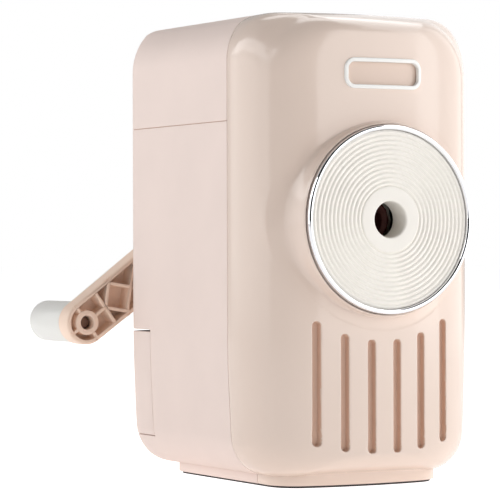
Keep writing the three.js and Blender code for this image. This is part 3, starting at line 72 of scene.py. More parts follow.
TUB_HALF_WIDTH, TUB_WALL, TUB_CORNER, TUB_FRONT = 30.8, 1.8, 5.0, 29.0
TUB_BELOW_FACE_TOP, TUB_ABOVE_FACE_BOTTOM, TUB_BEHIND_FACE = 1.2, 0.5, 0.4
GRIP_RADIUS, GRIP_HEIGHT, GRIP_DEPTH, GRIP_ABOVE_DRAWER = 14.0, 6.0, 2.8, 4.0
PLINTH_HALF_WIDTH, PLINTH_FRONT, PLINTH_BACK = 25.6, 8.3, 75.0
PLINTH_FRONT_CORNER, PLINTH_BACK_CORNER = 9.4, 6.0
PAD_INSET, PAD_THICKNESS, PAD_STANDS_OUT = 1.0, 1.4, 0.6
RAIL_OFFSET, RAIL_HALF_WIDTH, RAIL_BACK, RAIL_BELOW_TUB = 21, 1, 70.5, 0.3
COLLAR_RADIUS, COLLAR_BORE, COLLAR_HEIGHT = 9.0, 5.9, 1.2
IN_FLOOR = -BOTTOM + WALL - 0.4  # where what stands on or under the casing's floor ends, inside its thickness

# The crank axis where it meets the front face, in millimetres in the row frame. Pieces are laid out from it.
ring_low, ring_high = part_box("chrome_ring")
AXIS = np.array([0.0, ring_low.y / MM - RING_CREST, (ring_low.z + ring_high.z) / 2 / MM])
DESK = -AXIS[2]


# ---- Small tools ----
def place(points):
    return (np.asarray(points, float).reshape(-1, 3) + AXIS) * MM


def smooth_min(a, b, k):
    h = np.maximum(k - np.abs(a - b), 0) / k
    return np.minimum(a, b) - h * h * k / 4


def smooth_max(a, b, k):
    return -smooth_min(-a, -b, k)


def dress(obj, material, sharp):
    """Gives a mesh its material, unless it has its own, and smooth shading with edges over the angle left sharp."""
    if material is not None:
        obj.data.materials.clear()
        obj.data.materials.append(material)
    obj.data.polygons.foreach_set("use_smooth", [True] * len(obj.data.polygons))
    if sharp:
        obj.data.set_sharp_from_angle(angle=math.radians(sharp))
    obj.data.update()


def in_scene(name, data):
    obj = bpy.data.objects.new(name, data)
    bpy.context.scene.collection.objects.link(obj)
    return obj


def new_object(name, points, faces):
    mesh = bpy.data.meshes.new(name)
    mesh.from_pydata([tuple(p) for p in place(points)], [], faces)
    mesh.validate()
    return in_scene(name, mesh)


def face_outward(obj, weld=False):
    """Turns all faces outward, after joining vertices that coincide where that is asked for."""
    bm = bmesh.new()
    bm.from_mesh(obj.data)
    if weld:
        bmesh.ops.remove_doubles(bm, verts=bm.verts, dist=1e-7)
    bmesh.ops.recalc_face_normals(bm, faces=bm.faces)
    bm.to_mesh(obj.data)
    bm.free()
    return obj


def settle(obj):
    """Applies the object's modifiers."""
    bpy.context.view_layer.update()
    evaluated = obj.evaluated_get(bpy.context.evaluated_depsgraph_get())
    mesh = bpy.data.meshes.new_from_object(evaluated)
    obj.modifiers.clear()
    obj.data = mesh


def bevel(obj, width, segments=2, angle=50):
    mod = obj.modifiers.new("bevel", "BEVEL")
    mod.width = width * MM
    mod.segments = segments
    mod.limit_method = "ANGLE"
    mod.angle_limit = math.radians(angle)
    mod.use_clamp_overlap = False
    mod.miter_outer = "MITER_ARC"
    settle(obj)


def add(obj, material, body, nodes=(), sharp=45):
    """Gives a finished piece its material and its body, and hides the solids that it stands for."""
    dress(obj, material, sharp)
    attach(obj, body)
    if nodes:
        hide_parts(*nodes)
    return obj


def grid_faces(rows, columns, start=0, closed=False):
    faces = []
    for j in range(rows - 1):
        for i in range(columns if closed else columns - 1):
            a = start + j * columns + i
            b = start + j * columns + (i + 1) % columns
            faces.append((a, a + columns, b + columns, b))
    return faces


def turned(name, profile, segments=128, x=0.0, z=0.0, closed=True):
    """Turned about the crank axis or a parallel one. The profile is [radius, y], closed or ending on the axis."""
    angles = np.linspace(0, 2 * np.pi, segments, endpoint=False)
    around_x, around_z = np.cos(angles), np.sin(angles)
    rings = [np.stack([x + r * around_x, np.full(segments, y), z + r * around_z], 1) for r, y in profile]
    faces = grid_faces(len(profile), segments, closed=True)
    if closed:
        last = (len(profile) - 1) * segments
        for i in range(segments):
            j = (i + 1) % segments
            faces.append((last + i, i, j, last + j))
    return face_outward(new_object(name, np.concatenate(rings), faces), weld=True)


def arc(x, y, radius, start, end, steps):
    angles = np.linspace(start, end, steps + 1)
    return [(x + radius * math.cos(a), y + radius * math.sin(a)) for a in angles]


def prism(name, outline, low, high, upright=False):
    """A prism of an outline: along Y between low and high, or along Z when upright."""
    points = np.array(outline, float)
    points = points[np.hypot(*(points - np.roll(points, 1, axis=0)).T) > 1e-4]
    count = len(points)
    lower, upper = np.full(count, low), np.full(count, high)
    if upright:
        both = [np.stack([points[:, 0], points[:, 1], v], 1) for v in (lower, upper)]
    else:
        both = [np.stack([points[:, 0], v, points[:, 1]], 1) for v in (lower, upper)]
    faces = [tuple(range(count)), tuple(range(2 * count - 1, count - 1, -1))]
    faces += [(i, (i + 1) % count, count + (i + 1) % count, count + i) for i in range(count)]
    return face_outward(new_object(name, np.concatenate(both), faces))


def boolean(obj, tool, operation):
    mod = obj.modifiers.new("cut", "BOOLEAN")
    mod.operation = operation
    mod.solver = "EXACT"
    mod.object = tool
    settle(obj)
    bpy.data.objects.remove(tool)


# ---- Materials ----
def set_inputs(tree, node, inputs):
    """Sets a node's inputs, by name or number, each to a value or to the output that is linked to it."""
    for key, value in inputs.items():
        if isinstance(value, bpy.types.NodeSocket):
            tree.links.new(value, node.inputs[key])
        else:
            node.inputs[key].default_value = value


def add_node(tree, kind, inputs=None, operation=None):
    node = tree.nodes.new("ShaderNode" + kind)
    if operation:
        node.operation = operation
    set_inputs(tree, node, inputs or {})
    return node


def math_node(tree, operation, *values):
    return add_node(tree, "Math", dict(enumerate(values)), operation).outputs[0]


def material(name, color, roughness, metallic=0.0, grain=0.02, grain_scale=900.0, mottle=0.015, specular=0.5,
             rough_spread=0.04):
    """Moulded plastic, rubber or metal: a faint mottle in colour and roughness, and a fine grain in the surface."""
    mat = bpy.data.materials.new(name)
    mat.use_nodes = True
    tree = mat.node_tree
    where = add_node(tree, "TexCoord").outputs["Object"]
    broad = add_node(tree, "TexNoise", {"Scale": 60.0, "Detail": 3.0, "Vector": where}).outputs["Fac"]
    ramp = add_node(tree, "ValToRGB", {"Fac": broad})
    for element, position, factor in zip(ramp.color_ramp.elements, (0.3, 0.7), (1 - mottle, 1 + mottle)):
        element.position = position
        element.color = (*[min(1.0, linear(c) * factor) for c in color], 1)
    low, high = max(0.0, roughness - rough_spread), min(1.0, roughness + rough_spread)
    spread = add_node(tree, "MapRange", {"To Min": low, "To Max": high, "Value": broad})
    fine = add_node(tree, "TexNoise", {"Scale": grain_scale, "Detail": 2.0, "Vector": where})
    bump = add_node(tree, "Bump", {"Strength": grain, "Distance": 0.0001, "Height": fine.outputs["Fac"]})
    set_inputs(tree, tree.nodes["Principled BSDF"], {
        "Metallic": metallic, "Specular IOR Level": specular, "Base Color": ramp.outputs["Color"],
        "Roughness": spread.outputs["Result"], "Normal": bump.outputs["Normal"],
    })
    return mat


def linear(c):
    return c / 12.92 if c <= 0.04045 else ((c + 0.055) / 1.055) ** 2.4


def rgb(r, g, b):
    return (r / 255, g / 255, b / 255)


pink_gloss = material("pink_gloss", rgb(238, 218, 205), 0.14, grain=0.002, mottle=0.004, specular=0.6,
                      rough_spread=0.01)
pink_satin = material("pink_satin", rgb(244, 226, 218), 0.5, grain=0.03, grain_scale=1400.0, specular=0.25)
pink_arm = material("pink_arm", rgb(253, 226, 206), 0.45, grain=0.02)
# The grooves' floors and walls are darker brown than the shell: painted shade for the shade inside the grooves.
groove_painted_shade = material("groove_painted_shade", rgb(222, 190, 170), 0.5)
# The badge's recessed floor is a little darker than the face: painted shade for the shade in the recess.
badge_floor_painted_shade = material("badge_floor_painted_shade", rgb(230, 207, 192), 0.3)
# The lips behind the seams are darker than the shell: painted shade for the shade in the seams.
seam_painted_shade = material("seam_painted_shade", rgb(206, 172, 154), 0.6)
white_dial = material("white_dial", rgb(251, 246, 238), 0.42, grain=0.02, grain_scale=1800.0)
white_gloss = material("white_gloss", rgb(252, 251, 248), 0.25)
white_knob = material("white_knob", rgb(240, 239, 235), 0.35)
chrome = material("chrome", rgb(246, 247, 250), 0.04, metallic=1.0, grain=0.0, mottle=0.002, rough_spread=0.01)
rubber = material("rubber", rgb(62, 58, 60), 0.85, grain=0.25, grain_scale=700.0)
dark_plastic = material("dark_plastic", rgb(34, 32, 34), 0.55, grain=0.08)
# The knob's axle is dark brown: painted shade for the shaded hole at the arm's end, where the axle shows.
axle_painted_shade = material("axle_painted_shade", rgb(112, 88, 76), 0.4, metallic=1.0, grain=0.03)
brown_plastic = material("brown_plastic", rgb(96, 52, 46), 0.45, grain=0.05)
steel = material("steel", rgb(168, 170, 176), 0.3, metallic=1.0, grain=0.05, grain_scale=1500.0)
plated = material("plated", rgb(196, 198, 204), 0.35, metallic=1.0, grain=0.03)
nylon = material("nylon", rgb(226, 221, 208), 0.5, grain=0.03)


# ---- Casing ----
def bow(x, crown):
    return crown - np.sqrt(crown * crown - x * x)


def shoulder_point(turn, inset, drop):
    """The shouldered top corner, for a turn from 0 at the side to 90 degrees at the top. The edge is halfway."""
    middle = HALF_WIDTH - SHOULDER_RADIUS
    edge_x, edge_z = middle + SHOULDER_RADIUS * math.cos(SHOULDER_TURN), TOP - drop
    edge_radius = (drop - bow(edge_x, TOP_CROWN)) / (1 - math.sin(TOP_EDGE_TURN))
    share = turn / (math.pi / 4)
    above = share > 1
    angle = np.where(above, TOP_EDGE_TURN + (QUARTER - TOP_EDGE_TURN) * (share - 1), SHOULDER_TURN * share)
    radius = np.where(above, edge_radius, SHOULDER_RADIUS) - inset
    x = np.where(above, edge_x - edge_radius * math.cos(TOP_EDGE_TURN), middle) + radius * np.cos(angle)
    z = np.where(above, TOP - edge_radius - bow(x, TOP_CROWN), edge_z - SHOULDER_RADIUS * math.sin(SHOULDER_TURN))
    return x, z + radius * np.sin(angle)


def station_map(columns, rows, side, edge, inset, shoulder=1.0, drop=EDGE_DROP_FRONT):
    """The loop round the flat middle of a face, the same loop on the full outline, and the grid inside the first."""
    a, top, low, r = HALF_WIDTH - side, TOP - edge[0], BOTTOM - edge[1], FACE_CORNER
    out = HALF_WIDTH - inset
    diagonal = math.sqrt(0.5)
    xc, ztop, zlow = a - r + r * diagonal, top - r + r * diagonal, low - r + r * diagonal

    def level(fractions, upper):
        edge_in, edge_out = (top, TOP - inset) if upper else (low, BOTTOM - inset)
        radius = (TOP_CORNER if upper else BOTTOM_CORNER) - inset
        x = np.abs(fractions) * xc
        turn = np.arcsin(np.clip((x - (a - r)) / r, 0, 1))
        straight = np.minimum(x, a - r)
        inner = np.stack([straight + r * np.sin(turn), edge_in - r + r * np.cos(turn)], 1)
        outer = np.stack([straight * (out - radius) / (a - r) + radius * np.sin(turn),
                          edge_out - radius + radius * np.cos(turn)], 1)
        if upper:
            outer[:, 1] -= bow(outer[:, 0], TOP_CROWN)
            at_x, at_z = shoulder_point(QUARTER - turn, inset, drop)
            flat_x = float(shoulder_point(np.float64(QUARTER), inset, drop)[0])
            across = np.where(turn > 0, at_x, straight * flat_x / (a - r))
            full = np.stack([across, np.where(turn > 0, at_z, TOP - inset - bow(across, TOP_CROWN))], 1)
            outer = outer + (full - outer) * shoulder
        sign = np.stack([np.sign(fractions), np.full(len(fractions), 1 if upper else -1)], 1)
        return inner * sign, outer * sign

    def side_line(fractions, right):
        upper = fractions >= 0
        height = np.abs(fractions) * np.where(upper, ztop, zlow)
        flat = np.where(upper, top, low) - r
        radius = np.where(upper, TOP_CORNER, BOTTOM_CORNER) - inset
        flat_out = np.where(upper, TOP, BOTTOM) - inset - radius
        turn = np.arcsin(np.clip((height - flat) / r, 0, 1))
        straight = np.minimum(height, flat)
        same = 0.7 * flat  # heights below this run straight across
        mapped = np.where(straight <= same, straight, same + (straight - same) * (flat_out - same) / (flat - same))
        inner = np.stack([a - r + r * np.cos(turn), straight + r * np.sin(turn)], 1)
        outer = np.stack([out - radius + radius * np.cos(turn), mapped + radius * np.sin(turn)], 1)
        at_x, at_z = shoulder_point(turn, inset, drop)
        low_z = float(shoulder_point(np.float64(0), inset, drop)[1])
        share = np.clip((straight - same) / (flat - same), 0, 1)
        lifted = np.where(straight <= same, straight, same + share * (low_z - same))
        full = np.stack([at_x, np.where(turn > 0, at_z, lifted)], 1)
        crowned = np.stack([outer[:, 0], outer[:, 1] - share * bow(outer[:, 0], TOP_CROWN)], 1)
        outer = np.where(upper[:, None], crowned + (full - crowned) * shoulder, outer)
        sign = np.stack([np.full(len(fractions), 1 if right else -1), np.where(upper, 1, -1)], 1)
        return inner * sign, outer * sign

    top_in, top_out = level(columns, True)
    low_in, low_out = level(columns, False)
    right_in, right_out = side_line(rows, True)
    left_in, left_out = side_line(rows, False)
    u = ((columns + 1) / 2)[None, :, None]
    heights = np.where(rows >= 0, rows * ztop, rows * zlow)
    v = ((ztop - heights) / (ztop + zlow))[:, None, None]
    grid = ((1 - v) * top_in[None] + v * low_in[None] + (1 - u) * left_in[:, None] + u * right_in[:, None]
            - (1 - u) * (1 - v) * top_in[0] - u * (1 - v) * top_in[-1]
            - (1 - u) * v * low_in[0] - u * v * low_in[-1])

    def loop(t, r_, b, l):
        return np.concatenate([t, r_[1:-1], b[::-1], l[1:-1][::-1]])

    outline = loop(top_out, right_out, low_out, left_out)
    drawn_in = np.clip((-DRAFT_FROM - outline[:, 1]) / (BOTTOM - BOTTOM_CORNER - DRAFT_FROM), 0, 1) ** 1.5
    outline[:, 0] *= 1 - DRAFT / HALF_WIDTH * drawn_in
    return loop(top_in, right_in, low_in, left_in), outline, grid


def cap_loop(rows, columns):
    """Indices of the cap grid's vertices in the order of the loop."""
    index = np.arange(rows * columns).reshape(rows, columns)
    return np.concatenate([index[0], index[1:-1, -1], index[-1, ::-1], index[1:-1, 0][::-1]])


def casing_rings(inner, plain, shouldered, shares, crown, face_y, rim_y):
    """Rings from the edge of the flat middle to the full outline. A share is the sine of the angle turned through."""
    base = bow(inner[:, 0], crown)
    slope = inner[:, 0] / np.sqrt(crown**2 - inner[:, 0] ** 2)
    way = 1 if rim_y > face_y else -1
    rings = []
    for s in shares:
        late = min(1.0, max(0.0, (s - SHOULDER_FROM) / (1 - SHOULDER_FROM)))
        outer = plain + (shouldered - plain) * late * late * (3 - 2 * late)
        at = inner + (outer - inner) * s
        fall = 1 - math.sqrt(max(0.0, 1 - s * s))
        start = face_y + way * base
        extra = way * slope * (outer[:, 0] - inner[:, 0]) * s * (1 - s) ** 2
        y = start + (rim_y - start) * fall + extra
        rings.append(at_depth(at, y))
    return rings


def at_depth(points, y):
    """Points (x, z) of the front view, set at one depth or each at its own."""
    return np.stack([points[:, 0], np.broadcast_to(y, len(points)), points[:, 1]], 1)


def ring_faces(first, second):
    count = len(first)
    return [(first[k], first[(k + 1) % count], second[(k + 1) % count], second[k]) for k in range(count)]


GROOVES, GROOVE_HALF, GROOVE_DEPTH, GROOVE_PITCH = 6, 1.15, 1.8, 7.8
GROOVE_LOW, GROOVE_LOW_BOW = -61.9, 0.0062  # the lower ends rise with the square of the distance from the middle
GROOVE_HIGH_CENTRE, GROOVE_HIGH_RADIUS = 7.04, 39.0  # the upper ends lie on an arc below the dial
OUTER_GROOVE = (GROOVES - 1) / 2 * GROOVE_PITCH

# Grooves of the loudspeaker: [x, lower end, upper end].
grooves = []
for n in range(GROOVES):
    gx = (n - (GROOVES - 1) / 2) * GROOVE_PITCH
    high = GROOVE_HIGH_CENTRE - math.sqrt(GROOVE_HIGH_RADIUS**2 - gx * gx)
    grooves.append((gx, GROOVE_LOW + GROOVE_LOW_BOW * gx * gx, high))

BADGE_Z, BADGE_HALF_W, BADGE_HALF_H, BADGE_CORNER, BADGE_BAR = 38.7, 11.8, 4.1, 3.0, 1.1
BADGE_PROUD, BADGE_FLOOR = 0.55, 0.8


def groove_distance(x, z):
    best = np.full(np.shape(x), 99.0)
    for gx, low, high in grooves:
        clamped = np.clip(z, low + GROOVE_HALF, high - GROOVE_HALF)
        best = np.minimum(best, np.hypot(x - gx, z - clamped) - GROOVE_HALF)
    return best


def badge_distance(x, z, outset):
    half_w, half_h, r = BADGE_HALF_W + outset, BADGE_HALF_H + outset, BADGE_CORNER + outset
    dx = np.abs(x) - (half_w - r)
    dz = np.abs(z - BADGE_Z) - (half_h - r)
    return np.hypot(np.maximum(dx, 0), np.maximum(dz, 0)) + np.minimum(np.maximum(dx, dz), 0) - r


def step_down(d, depth, rim, wall):
    """Depth below the surface at distance d from an outline: a rounded rim, a steep wall and a rounded foot."""
    outside = np.clip(d / rim, 0, 1)
    rounded = rim * (1 - np.sqrt(1 - (1 - outside) ** 2))
    inside = np.clip(-d / wall, 0, 1)
    return np.where(d >= 0, rounded, rim + (depth - rim) * np.sin(inside * QUARTER) ** 0.8)


def front_relief(x, z, y):
    """The front shell's surface: the casing form, the flared seat of the dial, the grooves and the badge's recess."""
    r = np.hypot(x, z)
    u = np.clip((r - SEAT_RIM) / (FLARE_RADIUS - SEAT_RIM), 0, 1)
    flare = SEAT_LAND + (FLARE_BACK - SEAT_LAND) * np.sqrt(1 - (1 - u) ** 2)
    flare = np.where(r < SEAT_RIM, SEAT_LAND - 10 * (SEAT_RIM - r), flare)
    flare = np.where(r > FLARE_RADIUS, FLARE_BACK + 3 * (r - FLARE_RADIUS), flare)
    seat = smooth_max(np.full(np.shape(r), SEAT_LAND), flare, 0.35)
    out = smooth_min(y, seat, 3.0)
    out = out + step_down(groove_distance(x, z), GROOVE_DEPTH, 0.3, 0.25)
    out = out + step_down(badge_distance(x, z, -BADGE_BAR / 2), BADGE_FLOOR, 0.05, 0.15)
    return out


def spaced(low, high, step):
    return list(np.linspace(low, high, max(2, int(round((high - low) / step)) + 1)))


def runs(start, *stretches):
    """Places along stretches that follow each other. Each stretch is (end, step)."""
    places = []
    for end, step in stretches:
        places += spaced(start, end, step)
        start = end
    return places


def merged(values, least):
    """Sorted values with those closer together than the least step left out."""
    out = []
    for v in sorted(values):
        if not out or v - out[-1] > least:
            out.append(v)
    return out


def row_shares(heights, top, low, least):
    """Heights as shares of the flat middle's reach above and below the axis, from top to bottom."""
    heights = np.array(merged(heights, least))
    shares = np.where(heights > 0, heights / top, heights / low)
    shares[0], shares[-1] = -1, 1
    return shares[::-1].copy()


# Places of columns and rings beside a groove's edge, outward from it.
GROOVE_EDGE = [-0.5, -0.3, -0.22, -0.14, -0.07, 0.0, 0.05, 0.1, 0.16, 0.25, 0.45]


def front_columns():
    """Column places across the flat middle, close together at the edges of the grooves and of the badge."""
    a = HALF_WIDTH - FRONT_SIDE
    fixed = []
    for gx, _, _ in grooves:
        if abs(gx) < a:
            for side in (-1, 1):
                fixed += [gx + side * (GROOVE_HALF + e) for e in GROOVE_EDGE] + [gx + side * 0.35]
    for side in (-1, 1):
        fixed += [side * (BADGE_HALF_W - BADGE_BAR / 2 - e) for e in (-0.1, 0.0, 0.05, 0.1, 0.15, 0.3)]
    # Lower down the columns draw together, so others run beside these to reach the grooves' lower ends.
    beside = []
    for gx, _, _ in grooves:
        for edge in (abs(gx) - GROOVE_HALF, abs(gx) + GROOVE_HALF):
            beside += [math.copysign(v, gx) for v in np.arange(edge, edge * 1.15, 0.22)]
    beside = [v for v in beside if min(abs(v - f) for f in fixed) > 0.06]
    loose = [v for v in spaced(-a, a, 0.55) if min(abs(v - f) for f in fixed + beside) > 0.25]
    return np.array(merged([v for v in fixed + beside + loose if abs(v) < a] + [-a, a], 0.035)) / a


def front_rows():
    """Row places down the flat middle, close together where the grooves end and at the badge."""
    top, low = TOP - FRONT_EDGE[0], BOTTOM - FRONT_EDGE[1]
    heights = runs(-low, (-58.5, 0.16), (-33.0, 1.0), (-25.5, 0.16), (32.0, 0.8), (34.4, 0.5), (43.0, 0.2), (top, 0.8))
    return row_shares(heights, top, low, 0.05)


def front_shares():
    """Ring places from the flat middle to the full outline, close together at the outer grooves."""
    outward = OUTER_GROOVE - (HALF_WIDTH - FRONT_SIDE)
    fixed = [(outward + side * (GROOVE_HALF + e)) / FRONT_SIDE for side in (-1, 1) for e in GROOVE_EDGE + [-0.8]]
    fixed += [0.006, 0.012, 0.019, 0.026, 0.034, 0.043, 0.055]
    beside = [v for v in spaced(0.1, 0.34, 0.011) if min(abs(v - f) for f in fixed) > 0.005]
    loose = [math.sin(t) for t in np.linspace(0, QUARTER, 40)[1:]]
    loose = beside + [v for v in loose if min(abs(v - f) for f in fixed + beside) > 0.012]
    return merged([s for s in fixed + loose if 0.004 < s < 1] + [1.0], 0.002)


def make_front():
    columns, rows = front_columns(), front_rows()
    inner, outer, grid = station_map(columns, rows, FRONT_SIDE, FRONT_EDGE, 0)
    plain = station_map(columns, rows, FRONT_SIDE, FRONT_EDGE, 0, 0.0)[1]
    J, I = len(rows), len(columns)
    rim_y = FRONT_SIDE + bow(HALF_WIDTH - FRONT_SIDE, FRONT_CROWN)
    cap = np.stack([grid[..., 0], bow(grid[..., 0], FRONT_CROWN), grid[..., 1]], -1).reshape(-1, 3)
    rings = casing_rings(inner, plain, outer, front_shares(), FRONT_CROWN, 0.0, rim_y)
    cap[:, 1] = front_relief(cap[:, 0], cap[:, 2], cap[:, 1])
    for ring in rings[:-1]:
        ring[:, 1] = front_relief(ring[:, 0], ring[:, 2], ring[:, 1])
    # The edge at the seam: straight back, a small rounding, then across the wall and forward again inside.
    edge_y, rounding = SEAM - HALF_SEAM, 0.14
    rounded = [(edge_y - rounding * back, rounding * inward)
               for back, inward in [(1, 0), (0.6, 0.08), (0.29, 0.29), (0.08, 0.6), (0, 1)]]
    for y, inset in [(21.5, 0)] + rounded + [(edge_y, WALL)]:
        _, at, _ = station_map(columns, rows, FRONT_SIDE, FRONT_EDGE, inset)
        rings.append(at_depth(at, y))
    inner_in, outer_in, _ = station_map(columns, rows, FRONT_SIDE, FRONT_EDGE, WALL)
    plain_in = station_map(columns, rows, FRONT_SIDE, FRONT_EDGE, WALL, 0.0)[1]
    inside = [1.0, 0.95, 0.85, 0.7, 0.5, 0.25, 0.0]
    rings += casing_rings(inner_in, plain_in, outer_in, inside, FRONT_CROWN, WALL, rim_y)
    count = len(inner)
    points = np.concatenate([cap] + rings)
    faces = grid_faces(J, I)
    loop = cap_loop(J, I)
    for n in range(len(rings)):
        following = np.arange(count) + J * I + n * count
        faces += ring_faces([int(v) for v in loop], [int(v) for v in following])
        loop = following
    # Faces under the dial belong to the seat's own mesh.
    faces = np.array(faces)
    radius = np.hypot(points[:, 0], points[:, 2])
    outside = points[:, 1] < 15
    near = (radius[faces] < LIP_JOIN).all(1) & outside[faces].all(1)
    obj = new_object("front_moulding", points, [tuple(int(v) for v in f) for f in faces[~near]])
    for mat in (pink_gloss, groove_painted_shade, badge_floor_painted_shade):
        obj.data.materials.append(mat)
    local = np.array([v.co for v in obj.data.vertices]) / MM - AXIS
    groove_at = groove_distance(local[:, 0], local[:, 2])
    badge_at = badge_distance(local[:, 0], local[:, 2], -BADGE_BAR / 2)
    index = []
    for face in obj.data.polygons:
        corners = list(face.vertices)
        in_front = local[corners, 1].min() < 12
        # Faces inside a groove get the grooves' painted shade.
        in_groove = in_front and groove_at[corners].min() < -0.03
        # Faces on the badge's floor get its painted shade.
        in_badge = in_front and badge_at[corners].max() < 0.01
        index.append(1 if in_groove else 2 if in_badge else 0)
    obj.data.polygons.foreach_set("material_index", index)
    return obj


def make_seat():
    """The flared seat of the dial, as rings about the axis that end just under the front shell's skin."""
    radii = [RING_POCKET + d for d in (0, 0, 0.03, 0.12, 0.25)]
    radii += list(np.linspace(SEAT_RIM - 0.15, SEAT_RIM + 0.8, 14))
    radii += list(np.linspace(SEAT_RIM + 1, LIP_JOIN + 1.1, 14))
    depths = [4.0] + [SEAT_LAND + d for d in (0.45, 0.3, 0.2, 0.12)]
    angles = np.linspace(0, 2 * np.pi, 256, endpoint=False)
    plan = HALF_WIDTH - FRONT_SIDE
    rim_y = FRONT_SIDE + bow(plan, FRONT_CROWN)
    points = []
    for n, r in enumerate(radii):
        x, z = r * np.cos(angles), r * np.sin(angles)
        side = np.clip((np.abs(x) - plan) / FRONT_SIDE, 0, 1)
        inner_x = np.minimum(np.abs(x), plan)
        base = bow(inner_x, FRONT_CROWN)
        slope = np.where(np.abs(x) > plan, plan / math.sqrt(FRONT_CROWN**2 - plan**2), 0)
        y = base + (rim_y - base) * (1 - np.sqrt(1 - side**2)) + slope * FRONT_SIDE * side * (1 - side) ** 2
        y = front_relief(x, z, y)
        if n < len(depths):
            y = np.full(len(angles), depths[n])
        if r > LIP_JOIN - 0.7:
            y = y + 0.06 * (r - (LIP_JOIN - 0.7))
        points.append(np.stack([x, y, z], 1))
    faces = [tuple(reversed(f)) for f in grid_faces(len(radii), len(angles), closed=True)]
    return new_object("dial_seat", np.concatenate(points), faces)


def rear_relief(x, z, y):
    """The scooped grip at the top edge of the drawer's back, which runs on a little into the body above it."""
    d = np.hypot(x, z - (DRAWER_TOP - GRIP_HEIGHT + GRIP_RADIUS)) - GRIP_RADIUS
    return y - np.where(z < DRAWER_TOP + GRIP_ABOVE_DRAWER, step_down(d, GRIP_DEPTH, 0.8, 1.2), 0)


def make_rear():
    """The whole skin behind the seam, before it is parted into body, cover and drawer."""
    a = HALF_WIDTH - REAR_SIDE
    outside = spaced(15.5, 21.0, 1.4) + spaced(21.0, a, 0.4)
    columns = np.array(merged([-v for v in outside] + spaced(-15.5, 15.5, 0.4) + outside, 0.1)) / a
    top, low = TOP - REAR_EDGE[0], BOTTOM - REAR_EDGE[1]
    heights = runs(-low, (-56, 1.0), (-38, 2.0), (-28, 0.35), (40, 2.5), (top - 5, 1.0), (top, 0.4))
    rows = row_shares(heights, top, low, 0.1)
    inner, outer, grid = station_map(columns, rows, REAR_SIDE, REAR_EDGE, 0)
    J, I = len(rows), len(columns)
    rim_y = DEPTH - REAR_SIDE - bow(a, REAR_CROWN)
    shares = [math.sin(t) for t in np.linspace(QUARTER, 0, 14)[:-1]]
    rings = []
    for y in np.linspace(SEAM + HALF_SEAM, rim_y, 12):
        drop = EDGE_DROP_FRONT + (EDGE_DROP_BACK - EDGE_DROP_FRONT) * (y - SEAM) / (rim_y - SEAM)
        outer = station_map(columns, rows, REAR_SIDE, REAR_EDGE, 0, 1.0, drop)[1]
        rings.append(at_depth(outer, y))
    rings += casing_rings(inner, outer, outer, shares[1:], REAR_CROWN, DEPTH, rim_y)
    cap = np.stack([grid[..., 0], DEPTH - bow(grid[..., 0], REAR_CROWN), grid[..., 1]], -1).reshape(-1, 3)
    cap[:, 1] = rear_relief(cap[:, 0], cap[:, 2], cap[:, 1])
    count = len(inner)
    points = np.concatenate(rings + [cap])
    faces = []
    for n in range(len(rings) - 1):
        faces += ring_faces(range(n * count, (n + 1) * count), range((n + 1) * count, (n + 2) * count))
    start = len(rings) * count
    faces += ring_faces(range(start - count, start), [int(v) for v in cap_loop(J, I) + start])
    faces += [(a, d, c, b) for a, b, c, d in grid_faces(J, I, start)]
    return new_object("rear_skin", points, faces)


def part_off(bm, axis, value):
    """Cuts along a plane and puts the vertices beside the cut exactly on it."""
    co, no = [0.0, 0.0, 0.0], [0.0, 0.0, 0.0]
    co[axis] = (value + AXIS[axis]) * MM
    no[axis] = 1.0
    geometry = bm.verts[:] + bm.edges[:] + bm.faces[:]
    cut = bmesh.ops.bisect_plane(bm, geom=geometry, dist=0.12 * MM, plane_co=co, plane_no=no)
    for item in cut["geom_cut"]:
        if isinstance(item, bmesh.types.BMVert):
            item.co[axis] = co[axis]


def cut_skin(skin, cuts, keep):
    """The rear skin, cut along planes (axis, value), with only the faces whose middle passes the test."""
    bm = bmesh.new()
    bm.from_mesh(skin.data)
    for axis, value in cuts:
        part_off(bm, axis, value)
    gone = [face for face in bm.faces if not keep(np.array(face.calc_center_median()) / MM - AXIS)]
    bmesh.ops.delete(bm, geom=gone, context="FACES")
    return bm


def walled(name, bm, thickness, even):
    """Makes a cut skin an object with thickness inward."""
    mesh = bpy.data.meshes.new(name)
    bm.to_mesh(mesh)
    bm.free()
    obj = in_scene(name, mesh)
    mod = obj.modifiers.new("wall", "SOLIDIFY")
    mod.thickness = thickness * MM
    mod.offset = -1
    mod.use_even_offset = even
    settle(obj)
    return obj


ACROSS_Y, ACROSS_Z = 1, 2
SKIN_CUTS = [(ACROSS_Z, COVER_SEAM - HALF_SEAM), (ACROSS_Z, COVER_SEAM + HALF_SEAM),
             (ACROSS_Z, DRAWER_TOP), (ACROSS_Z, DRAWER_TOP + DRAWER_TOP_GAP),
             (ACROSS_Z, DRAWER_BOTTOM), (ACROSS_Z, DRAWER_BOTTOM - DRAWER_BOTTOM_GAP),
             (ACROSS_Y, DRAWER_SEAM - HALF_SEAM), (ACROSS_Y, DRAWER_SEAM + HALF_SEAM)]


def keep_part(skin, name, keep):
    """One moulding of the rear skin, given thickness and softened edges."""
    bm = cut_skin(skin, SKIN_CUTS, lambda at: keep(at[1], at[2]))
    bmesh.ops.remove_doubles(bm, verts=bm.verts, dist=0.01 * MM)
    obj = walled(name, bm, WALL, even=True)
    bevel(obj, 0.12)
    return obj


def seam_strip(skin, name, axis, low, high, keep):
    """A strip of the skin set just behind a seam, where the next moulding's lip closes the gap. Its darker colour is
    painted shade in the seam.
    """
    bm = cut_skin(skin, [(axis, low), (axis, high)], lambda at: low < at[axis] < high and keep(at[1], at[2]))
    bm.normal_update()
    for vertex, normal in [(v, v.normal.copy()) for v in bm.verts]:
        vertex.co -= normal * SEAM_DEPTH * MM
    add(walled(name, bm, LIP_THICKNESS, even=False), seam_painted_shade, "casing")


